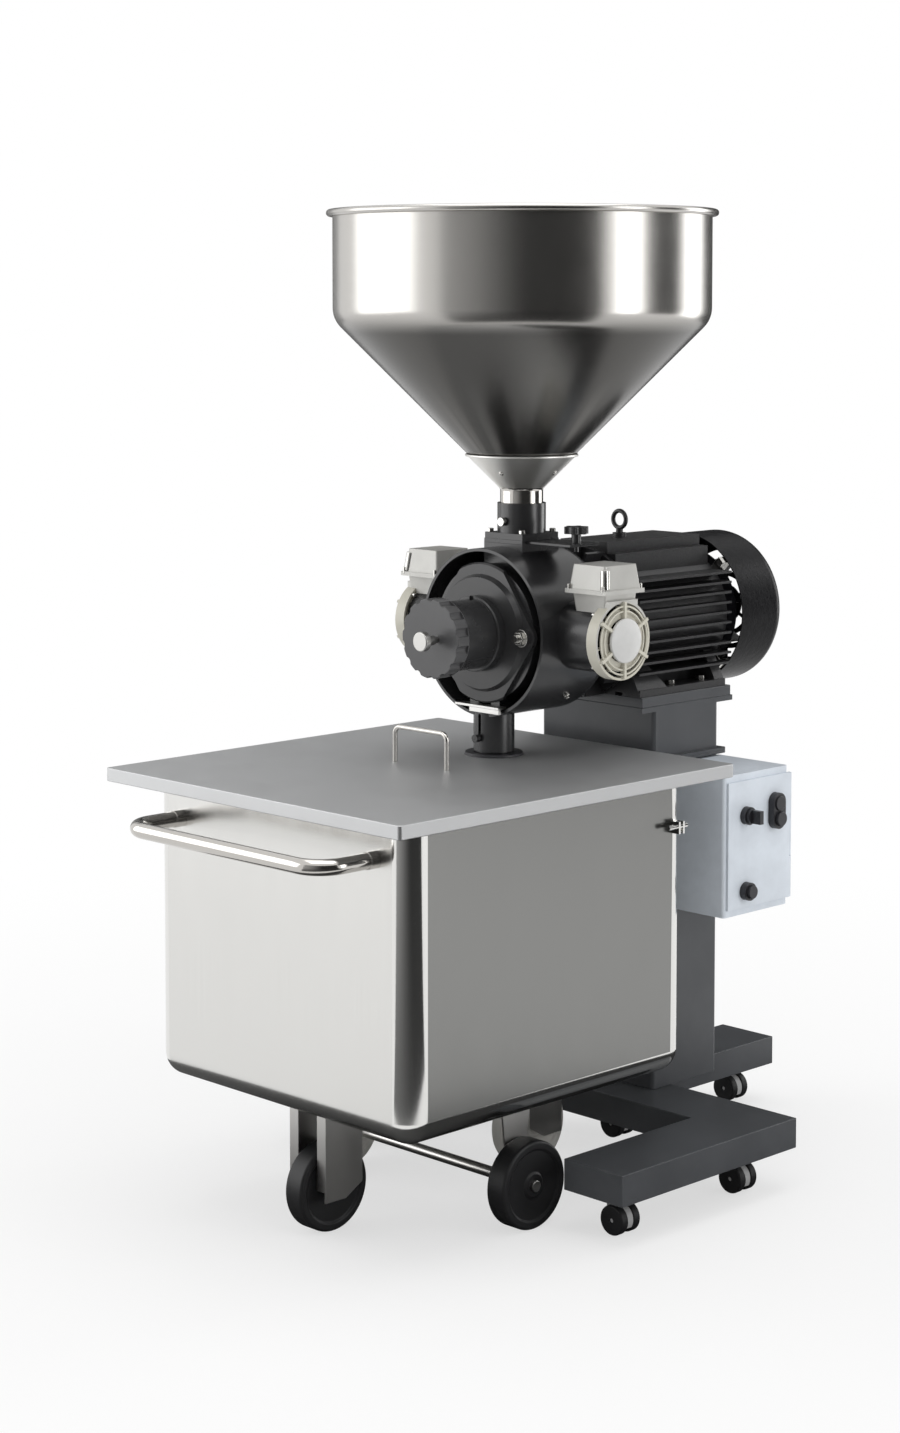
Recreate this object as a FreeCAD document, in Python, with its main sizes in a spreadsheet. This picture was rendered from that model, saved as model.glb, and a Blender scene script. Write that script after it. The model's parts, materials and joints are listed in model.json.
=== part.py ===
import FreeCAD, Part
import math
import os
import Sketcher
from types import SimpleNamespace
from FreeCAD import Placement, Rotation, Vector

# An industrial coffee grinder on a wheeled stand, with a receiving bin on its own cart.
# X runs from the left leg to the control box, Y from the hand wheel back to the motor,
# and Z is up from the floor. Sizes are in millimetres. Places along Y are measured from
# a drawing origin near the hopper, and the datum moves the finished pieces so that the
# machine's outline is centred.

SIZES = {
    # Stand
    "frame_half_width": 400,
    "leg_width": 123,
    "leg_front": -213.5,
    "leg_rear": 215,
    "frame_under": 69,
    "frame_height": 50,
    "frame_wall": 4,
    "tail_half_width": 59,
    "tail_end": 578,
    "column_half_width": 131,
    "column_front": 164,
    "column_rear": 331,
    "column_wall": 4,
    "column_round": 8,
    "joint_level": 680,
    "joint_plate": 5,
    "joint_overhang": 10,
    "riser_top": 768.5,
    "riser_plate": 9,
    "plate_overhang": 32,
    "motor_plate_thickness": 17.5,
    # Twin-wheel casters under the stand
    "twin_radius": 24,
    "twin_width": 15,
    "twin_hub_width": 12,
    "twin_trail": 16,
    "twin_stem_radius": 7,
    "twin_front_inset": 64,
    "twin_rear_inset": 76,
    "twin_tail_inset": 48,
    "twin_centre": 222,
    # Drive line
    "shaft_height": 121,
    "shaft_radius": 15,
    "shaft_rear": 452,
    "running_gap": 0.05,
    "clear_gap": 0.3,
    "tool_reach": 1,
    "tool_length": 2,
    "rotor_radius": 55,
    "rotor_front": 170,
    "rotor_rear": 330,
    "bearing_radius": 30,
    "bearing_width": 14,
    # Motor
    "motor_front": 128,
    "motor_rear": 368,
    "motor_core_radius": 112,
    "motor_half_width": 128,
    "motor_top": 137,
    "motor_top_half_width": 54,
    "motor_step": 118,
    "motor_step_half_width": 73,
    "fin_pitch": 17.5,
    "fin_thickness": 4,
    "fin_lift": 5.4,
    "foot_thickness": 12,
    "foot_rail": 40,
    "foot_front": 130,
    "foot_rear": 352,
    "foot_bolt_inset": 20,
    "web_base": 79,
    "web_top": 39,
    "web_depth": 30,
    "web_level": 60,
    "rear_web": 24,
    "foot_bolt_radius": 9,
    "foot_bolt_height": 8,
    "end_ring": 12,
    "shield_front": 70,
    "shield_plate": 9,
    "shield_radius": 112,
    "shield_rib_radius": 131,
    "shield_rib": 6,
    "cowl_front": 391,
    "cowl_rear": 510,
    "cowl_radius": 134,
    "cowl_wall": 2,
    "cowl_round": 26,
    "fan_front": 405,
    "fan_width": 38,
    "fan_radius": 106,
    "fan_hub_radius": 30,
    "terminal_half_length": 62,
    "terminal_rise": 14,
    "terminal_height": 92,
    "terminal_reach": 188,
    "eye_place": 219,
    "eye_radius": 14.5,
    "eye_wire": 3.8,
    "eye_rise": 168,
    # Grinding head
    "head_front": -119,
    "head_radius": 139,
    "head_wall": 5,
    "head_shoulder": 50,
    "jacket_rear": 28,
    "barrel_radius": 112,
    "chamber_radius": 98,
    "cover_radius": 116,
    "cover_thickness": 8,
    "cover_dome_radius": 97,
    "cover_dome": 8,
    "cover_lug_offset": 99.5,
    "cover_lug_radius": 20,
    "cover_flat_slope": 36,
    "stud_radius": 6,
    "hub_radius": 62.6,
    "hub_flange": 15,
    "hub_barrel_radius": 57,
    "hub_bore": 20,
    "notch_half_width": 5,
    "notch_depth": 11,
    "hand_wheel_radius": 65,
    "hand_wheel_front": -237,
    "hand_wheel_width": 30,
    "scallop_radius": 9,
    "scallop_depth": 4.5,
    "lock_pin_offset": 16.5,
    "lock_pin_reach": 39,
    "lock_knob_radius": 16,
    "lock_pin_radius": 5,
    "burr_outer": 90,
    "burr_inner": 42,
    "burr_thickness": 13,
    "burr_gap": 1.2,
    "tooth_depth": 3,
    "tooth_width": 3.4,
    # Outlet
    "spout_place": -89.3,
    "spout_radius": 34,
    "spout_wall": 2.8,
    "spout_gap": 10,
    "spout_length": 71.5,
    "sleeve_wall": 2,
    "sleeve_overlap": 10,
    "sleeve_screw_reach": 12,
    "sleeve_screw_head": 8,
    "sleeve_screw_radius": 2.2,
    "sleeve_knob_radius": 6.5,
    "sleeve_knob_length": 9,
    "strip_foot_start": 18,
    "strip_foot_reach": 6,
    "strip_foot_drop": 12,
    "outlet_bore": 26,
    "slot_rise": 23.5,
    "slot_length": 37,
    "slot_half_width": 3,
    "strip_half_length": 50,
    "strip_gap": 2.4,
    "strip_thickness": 4,
    "strip_depth": 20,
    # Feed and gate
    "feed_place": -24.4,
    "pad_half_width": 44,
    "pad_rise": 144,
    "gate_height": 7,
    "gate_rail": 1.3,
    "gate_half_width": 34,
    "gate_end": 142,
    "gate_tail": -38,
    "gate_knob_place": 124,
    "gate_knob_radius": 20,
    "knob_rise": 14,
    "knob_height": 12,
    "knob_lobe_radius": 8,
    "knob_lobe_offset": 3,
    "knob_stem_radius": 8,
    "knob_screw_radius": 4,
    "knob_screw_reach": 9,
    "throat_radius": 30,
    "throat_wall": 8,
    "flange_half_width": 43,
    "flange_thickness": 10,
    "flange_bolt_offset": 36.4,
    "flange_bolt_radius": 5.5,
    "flange_bolt_height": 6,
    "tube_screw_rise": 19,
    "tube_screw_radius": 7,
    "tube_screw_reach": 10,
    "tube_screw_head": 8,
    "tube_screw_stem": 3,
    "tube_screw_stem_length": 5,
    "feed_radius": 40.3,
    "feed_wall": 3.5,
    "feed_height": 49,
    # Hopper
    "neck_radius": 35.7,
    "sheet": 2,
    "neck_reach": 23,
    "lip_rise": 56,
    "lip_wire": 2.2,
    "nest_depth": 27,
    "drum_radius": 313,
    "drum_round": 46,
    "hopper_height": 399,
    "rim_wire": 5.8,
    # Cooling fans at the sides
    "nozzle_place": -30,
    "nozzle_radius": 56,
    "nozzle_wall": 5,
    "nozzle_end": 211,
    "side_fan_depth": 21,
    "side_fan_radius": 64.5,
    "side_fan_wall": 4,
    "side_disc_radius": 36,
    "side_disc_reach": 246,
    "side_hub_radius": 20,
    "fan_box_inner": 152,
    "fan_box_outer": 232,
    "fan_box_half_length": 43,
    "fan_box_top_rise": 121,
    "fan_box_lip_rise": 79,
    "fan_box_foot_rise": 45,
    "fan_box_foot_inset": 8,
    "fan_box_taper": 5,
    "fan_box_lip_reach": 4,
    # Control box
    "control_outer": 284,
    "control_bottom": 440,
    "control_top": 677,
    "control_round": 6,
    "control_wall": 3,
    "door_thickness": 4,
    "door_margin": 12,
    "hinge_radius": 4,
    "hinge_offset": 4.5,
    "button_depth": 18,
    "rotary_place": 215,
    "rotary_level": 607,
    "round_level": 480,
    "oval_place": 290,
    "oval_level": 606,
    "oval_half_width": 13,
    "oval_half_height": 28.5,
    "button_travel": 4,
    "bezel_recess": 6,
    "bezel_side": 3,
    "bezel_end": 2,
    "bezel_corner": 2.9,
    "button_spacing": 13,
    "button_play": 1,
    "button_well": 40,
    "round_bezel_radius": 15,
    "round_button_radius": 11,
    "rotary_base_height": 10,
    "rotary_shaft_radius": 5,
    "rotary_shaft_length": 12,
    "rotary_collar_radius": 12,
    "rotary_collar_height": 6,
    "rotary_reach": 34,
    "rotary_grip_half": 4.5,
    "rotary_grip_height": 11,
    "stop_reach": 3,
    "gland_offset": 60,
    "gland_radius": 10,
    "hinge_inset": 1,
    "hinge_leaf": 14,
    "hinge_sheet": 2,
    "hinge_pin_radius": 1.5,
    "hinge_play": 0.05,
    "knuckle_gap": 1,
    # Bin
    "bin_half_width": 296.7,
    "bin_front": -569,
    "bin_rear": 56.4,
    "bin_bottom": 210,
    "bin_round": 40,
    "bin_wall": 2,
    "lid_half_width": 343.4,
    "lid_front": -630,
    "lid_rear": 117.4,
    "lid_gap": 6.5,
    "lid_skirt": 21.6,
    "lid_sheet": 2.5,
    "lid_round": 6,
    "lid_hole": 31,
    "ring_radius": 48,
    "ring_height": 4.5,
    "lid_handle_place": -258,
    "lid_handle_half_width": 60,
    "lid_handle_height": 62,
    "lid_handle_wire": 4,
    "push_half_width": 226,
    "push_reach": -680,
    "push_drop": 74,
    "ferrule_wall": 1.2,
    "ferrule_length": 18,
    "catch_drop": 94,
    "catch_radius": 4,
    "catch_offset": 12,
    "catch_setback": 62,
    "catch_length": 44,
    "catch_plate_reach": 16,
    "catch_plate_first": 40,
    "catch_plate_second": 30,
    "catch_plate_sheet": 4,
    "catch_plate_below": 12,
    "catch_plate_above": 8,
    "push_radius": 12.5,
    "push_bend": 45,
    "ferrule_place": -587,
    # Cart wheels
    "wheel_radius": 70.5,
    "wheel_width": 38,
    "wheel_outer": 235,
    "axle_place": -235.8,
    "axle_radius": 9,
    "bracket_half_width": 34,
    "bracket_thickness": 4,
    "caster_front": -465,
    "caster_rear": -6.6,
    "caster_trail": 36,
    "fork_half_width": 42,
    "fork_sheet": 3,
    "fork_top": 206,
    "fork_bottom": 58,
    "fork_length": 78,
}

doc = FreeCAD.newDocument("coffee_grinder")
sheet = doc.addObject("Spreadsheet::Sheet", "Sizes")
pieces = []


class Size:
    """A length that knows its number and the sheet formula that gives it."""

    def __init__(self, text, number):
        self.text = text
        self.number = float(number)

    def __add__(self, other):
        other = as_size(other)
        return Size("(%s + %s)" % (self.text, other.text), self.number + other.number)

    def __sub__(self, other):
        other = as_size(other)
        return Size("(%s - %s)" % (self.text, other.text), self.number - other.number)

    def __mul__(self, other):
        other = as_size(other)
        return Size("(%s * %s)" % (self.text, other.text), self.number * other.number)

    def __truediv__(self, other):
        other = as_size(other)
        return Size("(%s / %s)" % (self.text, other.text), self.number / other.number)

    def __radd__(self, other):
        return as_size(other) + self

    def __rsub__(self, other):
        return as_size(other) - self

    def __rmul__(self, other):
        return as_size(other) * self

    def __neg__(self):
        return self * -1


def as_size(thing):
    """A Size from a Size or a plain number."""
    return thing if isinstance(thing, Size) else Size("(%r)" % float(thing), thing)


def fill_sheet():
    """Write the driving sizes to the sheet and return them by name."""
    for row, (word, number) in enumerate(SIZES.items(), start=1):
        sheet.set("A%d" % row, word)
        sheet.set("B%d" % row, str(number))
        sheet.setAlias("B%d" % row, word)
    doc.recompute()
    return SimpleNamespace(**{word: Size("Sizes." + word, number) for word, number in SIZES.items()})


def add_levels(d):
    """Levels that follow from the stand, the shaft's height above it and each other."""
    d.foot_level = d.riser_top + d.riser_plate + d.motor_plate_thickness
    d.axis_level = d.foot_level + d.shaft_height
    d.terminal_level = d.axis_level + d.terminal_rise
    d.eye_level = d.axis_level + d.eye_rise
    d.nozzle_level = d.axis_level
    d.fan_box_top = d.axis_level + d.fan_box_top_rise
    d.fan_box_lip = d.axis_level + d.fan_box_lip_rise
    d.fan_box_foot = d.axis_level + d.fan_box_foot_rise
    d.spout_top = d.axis_level - d.cover_radius - d.spout_gap
    d.spout_bottom = d.spout_top - d.spout_length
    d.slot_low = d.spout_bottom + d.slot_rise
    d.slot_high = d.slot_low + d.slot_length
    d.sleeve_top = d.slot_low + d.sleeve_overlap
    d.lid_top = d.spout_bottom - d.lid_gap
    d.push_level = d.lid_top - d.push_drop
    d.catch_level = d.lid_top - d.catch_drop
    d.strip_level = d.axis_level - d.cover_radius - d.strip_gap
    d.pad_top = d.axis_level + d.pad_rise
    d.gate_top = d.pad_top + d.gate_height
    d.flange_top = d.gate_top + d.flange_thickness
    d.tube_screw_level = d.flange_top + d.tube_screw_rise
    d.feed_top = d.flange_top + d.feed_height
    d.neck_top = d.feed_top + d.neck_reach
    d.lip_level = d.neck_top + d.lip_rise
    d.rim_level = d.lip_level + d.hopper_height
    return d


d = add_levels(fill_sheet())
ORIGIN = as_size(0)
ROOT_TWO = math.sqrt(2)
DATUM = (d.tail_end + d.push_reach - d.push_radius) / 2

TURNS = {
    "X": Rotation(Vector(0, 1, 0), 90),
    "Y": Rotation(Vector(1, 0, 0), -90),
    "Z": Rotation(),
}
OUTLINE_TURNS = {
    "X": Rotation(Vector(1, 1, 1), 120),
    "Y": Rotation(Vector(1, 0, 0), 90),
    "Z": Rotation(),
}


def bind(thing, **sizes):
    """Bind properties of an object to sheet formulas."""
    for name, value in sizes.items():
        value = as_size(value)
        setattr(thing, name, value.number)
        thing.setExpression(name, value.text)
    return thing


def place(thing, x, y, z, turn=Rotation()):
    """Put an object at drawing coordinates, with the datum taken off along Y."""
    spot = [as_size(x), as_size(y) - DATUM, as_size(z)]
    thing.Placement = Placement(Vector(*[value.number for value in spot]), turn)
    for axis, value in zip("xyz", spot):
        thing.setExpression("Placement.Base." + axis, value.text)
    return thing


def box(x, y, z):
    """A block between two sizes along each axis."""
    spans = [sorted(map(as_size, pair), key=lambda value: value.number) for pair in (x, y, z)]
    block = doc.addObject("Part::Box", "Block")
    bind(block, Length=spans[0][1] - spans[0][0], Width=spans[1][1] - spans[1][0],
         Height=spans[2][1] - spans[2][0])
    return place(block, spans[0][0], spans[1][0], spans[2][0])


def rod(axis, start, radius, length):
    """A cylinder from a start point along X, Y or Z."""
    bar = doc.addObject("Part::Cylinder", "Rod")
    bind(bar, Radius=radius, Height=length)
    return place(bar, *start, TURNS[axis])


def taper(axis, start, first_radius, last_radius, length):
    """A cone frustum from a start point along X, Y or Z."""
    cone = doc.addObject("Part::Cone", "Taper")
    bind(cone, Radius1=first_radius, Radius2=last_radius, Height=length)
    return place(cone, *start, TURNS[axis])


def hoop(centre, radius, wire, turn):
    """A torus about a centre."""
    ring = doc.addObject("Part::Torus", "Hoop")
    bind(ring, Radius1=radius, Radius2=wire)
    return place(ring, *centre, turn)


def prism(axis, start, circumradius, length, sides=6):
    """A regular prism, such as a nut."""
    nut = doc.addObject("Part::Prism", "Prism")
    nut.Polygon = sides
    bind(nut, Circumradius=circumradius, Height=length)
    return place(nut, *start, TURNS[axis])


def fuse(*things):
    """Join solids that touch into one."""
    joined = doc.addObject("Part::MultiFuse", "Joined")
    joined.Shapes = list(things)
    joined.Refine = True
    return joined


def group(*things):
    """Keep separate solids together as one piece."""
    together = doc.addObject("Part::Compound", "Group")
    together.Links = list(things)
    return together


def cut(base, *tools):
    """Take tools away from a solid."""
    carved = doc.addObject("Part::Cut", "Carved")
    carved.Base = base
    carved.Tool = tools[0] if len(tools) == 1 else group_tool(tools)
    carved.Refine = True
    return carved


def group_tool(tools):
    """One cutting tool from several solids that may overlap."""
    joined = doc.addObject("Part::MultiFuse", "Cutters")
    joined.Shapes = list(tools)
    return joined


def common(first, second):
    """The space that two solids share."""
    shared = doc.addObject("Part::Common", "Shared")
    shared.Base = first
    shared.Tool = second
    return shared


def draw(body, role, loops):
    """Draw closed loops on one of the body's own planes.

    A loop is a list of corners (across, along) or (across, along, radius), or one
    circle as a tuple ("circle", across, along, radius).
    """
    plane = next(item for item in body.Origin.OriginFeatures if item.Role == role)
    sketch = body.newObject("Sketcher::SketchObject", "Outline")
    sketch.AttachmentSupport = [(plane, "")]
    sketch.MapMode = "FlatFace"
    for loop in loops:
        if loop[0] == "circle":
            draw_circle(sketch, *loop[1:])
        else:
            draw_corners(sketch, [[as_size(value) for value in corner] for corner in loop])
    return sketch


def pin_point(sketch, shape, end, across, along):
    """Fix one point of a sketch at its distances from the sketch origin."""
    for kind, value in (("DistanceX", across), ("DistanceY", along)):
        index = sketch.addConstraint(Sketcher.Constraint(kind, -1, 1, shape, end, value.number))
        sketch.setExpression("Constraints[%d]" % index, value.text)


def draw_circle(sketch, across, along, radius):
    """A circle whose centre and radius follow the sheet."""
    across, along, radius = map(as_size, (across, along, radius))
    centre = Vector(across.number, along.number, 0)
    shape = sketch.addGeometry(Part.Circle(centre, Vector(0, 0, 1), radius.number), False)
    pin_point(sketch, shape, 3, across, along)
    index = sketch.addConstraint(Sketcher.Constraint("Radius", shape, radius.number))
    sketch.setExpression("Constraints[%d]" % index, radius.text)


def corner_arc(before, spot, after, radius):
    """The arc that rounds a corner: its geometry, its two tangent points and their ends."""
    back = (before - spot).normalize()
    ahead = (after - spot).normalize()
    half = back.getAngle(ahead) / 2
    reach = radius / math.tan(half)
    centre = spot + (back + ahead).normalize() * (radius / math.sin(half))
    first = spot + back * reach
    last = spot + ahead * reach
    left_turn = (spot - before).cross(after - spot).z > 0
    start, finish = (first, last) if left_turn else (last, first)
    angles = [math.atan2((point - centre).y, (point - centre).x) for point in (start, finish)]
    if angles[1] < angles[0]:
        angles[1] += 2 * math.pi
    arc = Part.ArcOfCircle(Part.Circle(centre, Vector(0, 0, 1), radius), *angles)
    return arc, first, last, (1, 2) if left_turn else (2, 1)


def draw_corners(sketch, corners):
    """A closed outline through corners, with an arc where a corner has a radius."""
    spots = [Vector(corner[0].number, corner[1].number, 0) for corner in corners]
    count = len(spots)
    arcs = {}
    starts, finishes = list(spots), list(spots)
    for index, corner in enumerate(corners):
        if len(corner) == 3:
            arc, first, last, ends = corner_arc(spots[index - 1], spots[index],
                                                spots[(index + 1) % count], corner[2].number)
            finishes[index], starts[index] = first, last
            arcs[index] = (sketch.addGeometry(arc, False), ends)
    sides = [sketch.addGeometry(Part.LineSegment(starts[index], finishes[(index + 1) % count]), False)
             for index in range(count)]
    for index, corner in enumerate(corners):
        arriving, leaving = sides[index - 1], sides[index]
        if index not in arcs:
            sketch.addConstraint(Sketcher.Constraint("Coincident", arriving, 2, leaving, 1))
            pin_point(sketch, leaving, 1, corner[0], corner[1])
            continue
        arc, ends = arcs[index]
        point = sketch.addGeometry(Part.Point(spots[index]), True)
        pin_point(sketch, point, 1, corner[0], corner[1])
        sketch.addConstraint([
            Sketcher.Constraint("PointOnObject", point, 1, arriving),
            Sketcher.Constraint("PointOnObject", point, 1, leaving),
            Sketcher.Constraint("Tangent", arriving, 2, arc, ends[0]),
            Sketcher.Constraint("Tangent", arc, ends[1], leaving, 1),
        ])
        radius = sketch.addConstraint(Sketcher.Constraint("Radius", arc, corner[2].number))
        sketch.setExpression("Constraints[%d]" % radius, corner[2].text)


def turned(axis, start, *loops):
    """A body of revolution about X, Y or Z. Each corner is (radius, distance along the axis)."""
    body = doc.addObject("PartDesign::Body", "Turned")
    place(body, *start, TURNS[axis])
    sketch = draw(body, "XZ_Plane", loops)
    revolution = body.newObject("PartDesign::Revolution", "Revolution")
    revolution.Profile = sketch
    revolution.ReferenceAxis = (sketch, ["V_Axis"])
    revolution.Angle = 360
    return body


def padded(axis, start, length, *loops):
    """A body extruded from outlines. X: corners are (y, z), extruded towards +X.
    Y: corners are (x, z), extruded towards -Y. Z: corners are (x, y), extruded up."""
    body = doc.addObject("PartDesign::Body", "Padded")
    place(body, *start, OUTLINE_TURNS[axis])
    sketch = draw(body, "XY_Plane", loops)
    pad = body.newObject("PartDesign::Pad", "Pad")
    pad.Profile = sketch
    bind(pad, Length=length)
    return body


def rectangle(across, along, radius=None):
    """Corners of a rectangle between two pairs of sizes, rounded where a radius is given."""
    corners = [(across[0], along[0]), (across[1], along[0]), (across[1], along[1]), (across[0], along[1])]
    return corners if radius is None else [corner + (radius,) for corner in corners]


def around(radius, count, first=0.0):
    """Points round a circle as pairs of sizes, with the angle of each in degrees."""
    for index in range(count):
        angle = first + 360.0 * index / count
        yield radius * math.cos(math.radians(angle)), radius * math.sin(math.radians(angle)), angle


def rounded(base, radius, chosen):
    """Round the edges that a test picks."""
    doc.recompute()
    edges = [index for index, edge in enumerate(base.Shape.Edges, start=1) if chosen(edge)]
    fillet = doc.addObject("Part::Fillet", "Rounded")
    fillet.Base = base
    fillet.Edges = [(index, radius.number, radius.number) for index in edges]
    return fillet


def piece(label, thing):
    """Name a finished piece. Its label names its file."""
    thing.Label = label
    pieces.append(thing)
    return thing


def swept(points, bends, radius):
    """A round rod along straight runs with tangent arcs at the inner points."""
    spots = [Vector(*[as_size(value).number for value in point]) - Vector(0, DATUM.number, 0)
             for point in points]
    edges = []
    cursor = spots[0]
    for index in range(1, len(spots) - 1):
        back = (spots[index - 1] - spots[index]).normalize()
        ahead = (spots[index + 1] - spots[index]).normalize()
        half = back.getAngle(ahead) / 2
        reach = bends[index - 1].number / math.tan(half)
        middle = (back + ahead).normalize() * (bends[index - 1].number * (1 / math.sin(half) - 1))
        first, last = spots[index] + back * reach, spots[index] + ahead * reach
        edges.append(Part.LineSegment(cursor, first).toShape())
        edges.append(Part.Arc(first, spots[index] + middle, last).toShape())
        cursor = last
    edges.append(Part.LineSegment(cursor, spots[-1]).toShape())
    path = Part.Wire(edges)
    section = Part.Wire(Part.makeCircle(radius.number, spots[0], spots[1] - spots[0]))
    feature = doc.addObject("Part::Feature", "Swept")
    feature.Shape = path.makePipeShell([section], True, False)
    return feature


def make_stand():
    """Fork-shaped frame, column, riser and the plate under the motor."""
    bottom, top = d.frame_under, d.frame_under + d.frame_height
    wall = d.frame_wall
    inner = d.frame_half_width - d.leg_width
    spans = []
    for side in (-1, 1):
        spans.append(((inner * side, d.frame_half_width * side), (d.leg_front, d.leg_rear)))
    spans.append(((-d.frame_half_width, d.frame_half_width), (d.leg_rear - d.leg_width, d.leg_rear)))
    spans.append(((-d.tail_half_width, d.tail_half_width), (d.leg_rear - d.leg_width, d.tail_end)))
    outside, inside = [], []
    for x, y in spans:
        x = sorted(map(as_size, x), key=lambda value: value.number)
        outside.append(box(x, y, (bottom, top)))
        inside.append(box((x[0] + wall, x[1] - wall), (y[0] + wall, y[1] - wall), (bottom + wall, top - wall)))
    piece("base_frame", cut(fuse(*outside), *inside))

    half, front, rear = d.column_half_width, d.column_front, d.column_rear
    post_outer = rectangle((-half, half), (front, rear), d.column_round)
    post_inner = rectangle((d.column_wall - half, half - d.column_wall),
                           (front + d.column_wall, rear - d.column_wall), d.column_round - d.column_wall)
    over = d.joint_overhang
    plate = rectangle((-half - over, half + over), (front - over, rear + over), d.joint_plate)
    middle = d.joint_level + d.joint_plate
    piece("column", fuse(
        padded("Z", (0, 0, top), d.joint_level - top, post_outer, post_inner),
        padded("Z", (0, 0, d.joint_level), d.joint_plate, plate)))
    over = d.plate_overhang
    head_plate = rectangle((-half, half), (front - over, rear + over + d.joint_plate))
    piece("riser", fuse(
        padded("Z", (0, 0, middle), d.joint_plate, plate),
        padded("Z", (0, 0, middle + d.joint_plate), d.riser_top - middle - d.joint_plate,
               post_outer, post_inner),
        padded("Z", (0, 0, d.riser_top), d.riser_plate, head_plate)))
    motor_plate = rectangle((-half, half), (front - over, rear + over))
    piece("motor_plate", padded("Z", (0, 0, d.riser_top + d.riser_plate), d.motor_plate_thickness, motor_plate))


def make_twin_casters():
    """Six swivel casters with two wheels each, under the legs, the cross member and the tail."""
    leg_middle = d.frame_half_width - d.leg_width / 2
    spots = {
        "front_right": (leg_middle, d.leg_front + d.twin_front_inset),
        "front_left": (-leg_middle, d.leg_front + d.twin_front_inset),
        "rear_right": (leg_middle, d.leg_rear - d.twin_rear_inset),
        "rear_left": (-leg_middle, d.leg_rear - d.twin_rear_inset),
        "centre": (ORIGIN, d.twin_centre),
        "tail": (ORIGIN, d.tail_end - d.twin_tail_inset),
    }
    gap = d.clear_gap
    half_hub = d.twin_hub_width / 2
    axle_radius = d.twin_stem_radius / 2
    outer = half_hub + gap + d.twin_width
    for name, (wheel_x, y) in spots.items():
        x = wheel_x - d.twin_trail
        stem_top = d.frame_under
        hood = cut(rod("Y", (wheel_x, y - half_hub, d.twin_radius), d.twin_radius - 2, d.twin_hub_width),
                   box((wheel_x - d.twin_radius, wheel_x + d.twin_radius), (y - half_hub, y + half_hub),
                       (0, d.twin_radius / 2)))
        swivel = fuse(
            hood,
            box((x - d.twin_stem_radius, wheel_x), (y - half_hub, y + half_hub),
                (d.twin_radius, d.twin_radius * 2)),
            rod("Z", (x, y, d.twin_radius * 2 - 2), d.twin_stem_radius, stem_top - d.twin_radius * 2 + 2 - gap),
            rod("Y", (wheel_x, y - outer + 2, d.twin_radius), axle_radius, outer * 2 - 4))
        piece("caster_" + name, swivel)
        wheels = []
        for side in (-1, 1):
            near = y + (half_hub + gap) * side
            far = y + outer * side
            first, length = (near, far - near) if side > 0 else (far, near - far)
            tread = turned("Y", (wheel_x, first, d.twin_radius), [
                (axle_radius + d.running_gap, 0),
                (d.twin_radius, 0, 3),
                (d.twin_radius, length, 3),
                (axle_radius + d.running_gap, length)])
            wheels.append(tread)
        piece("caster_wheels_" + name, group(*wheels))


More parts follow.
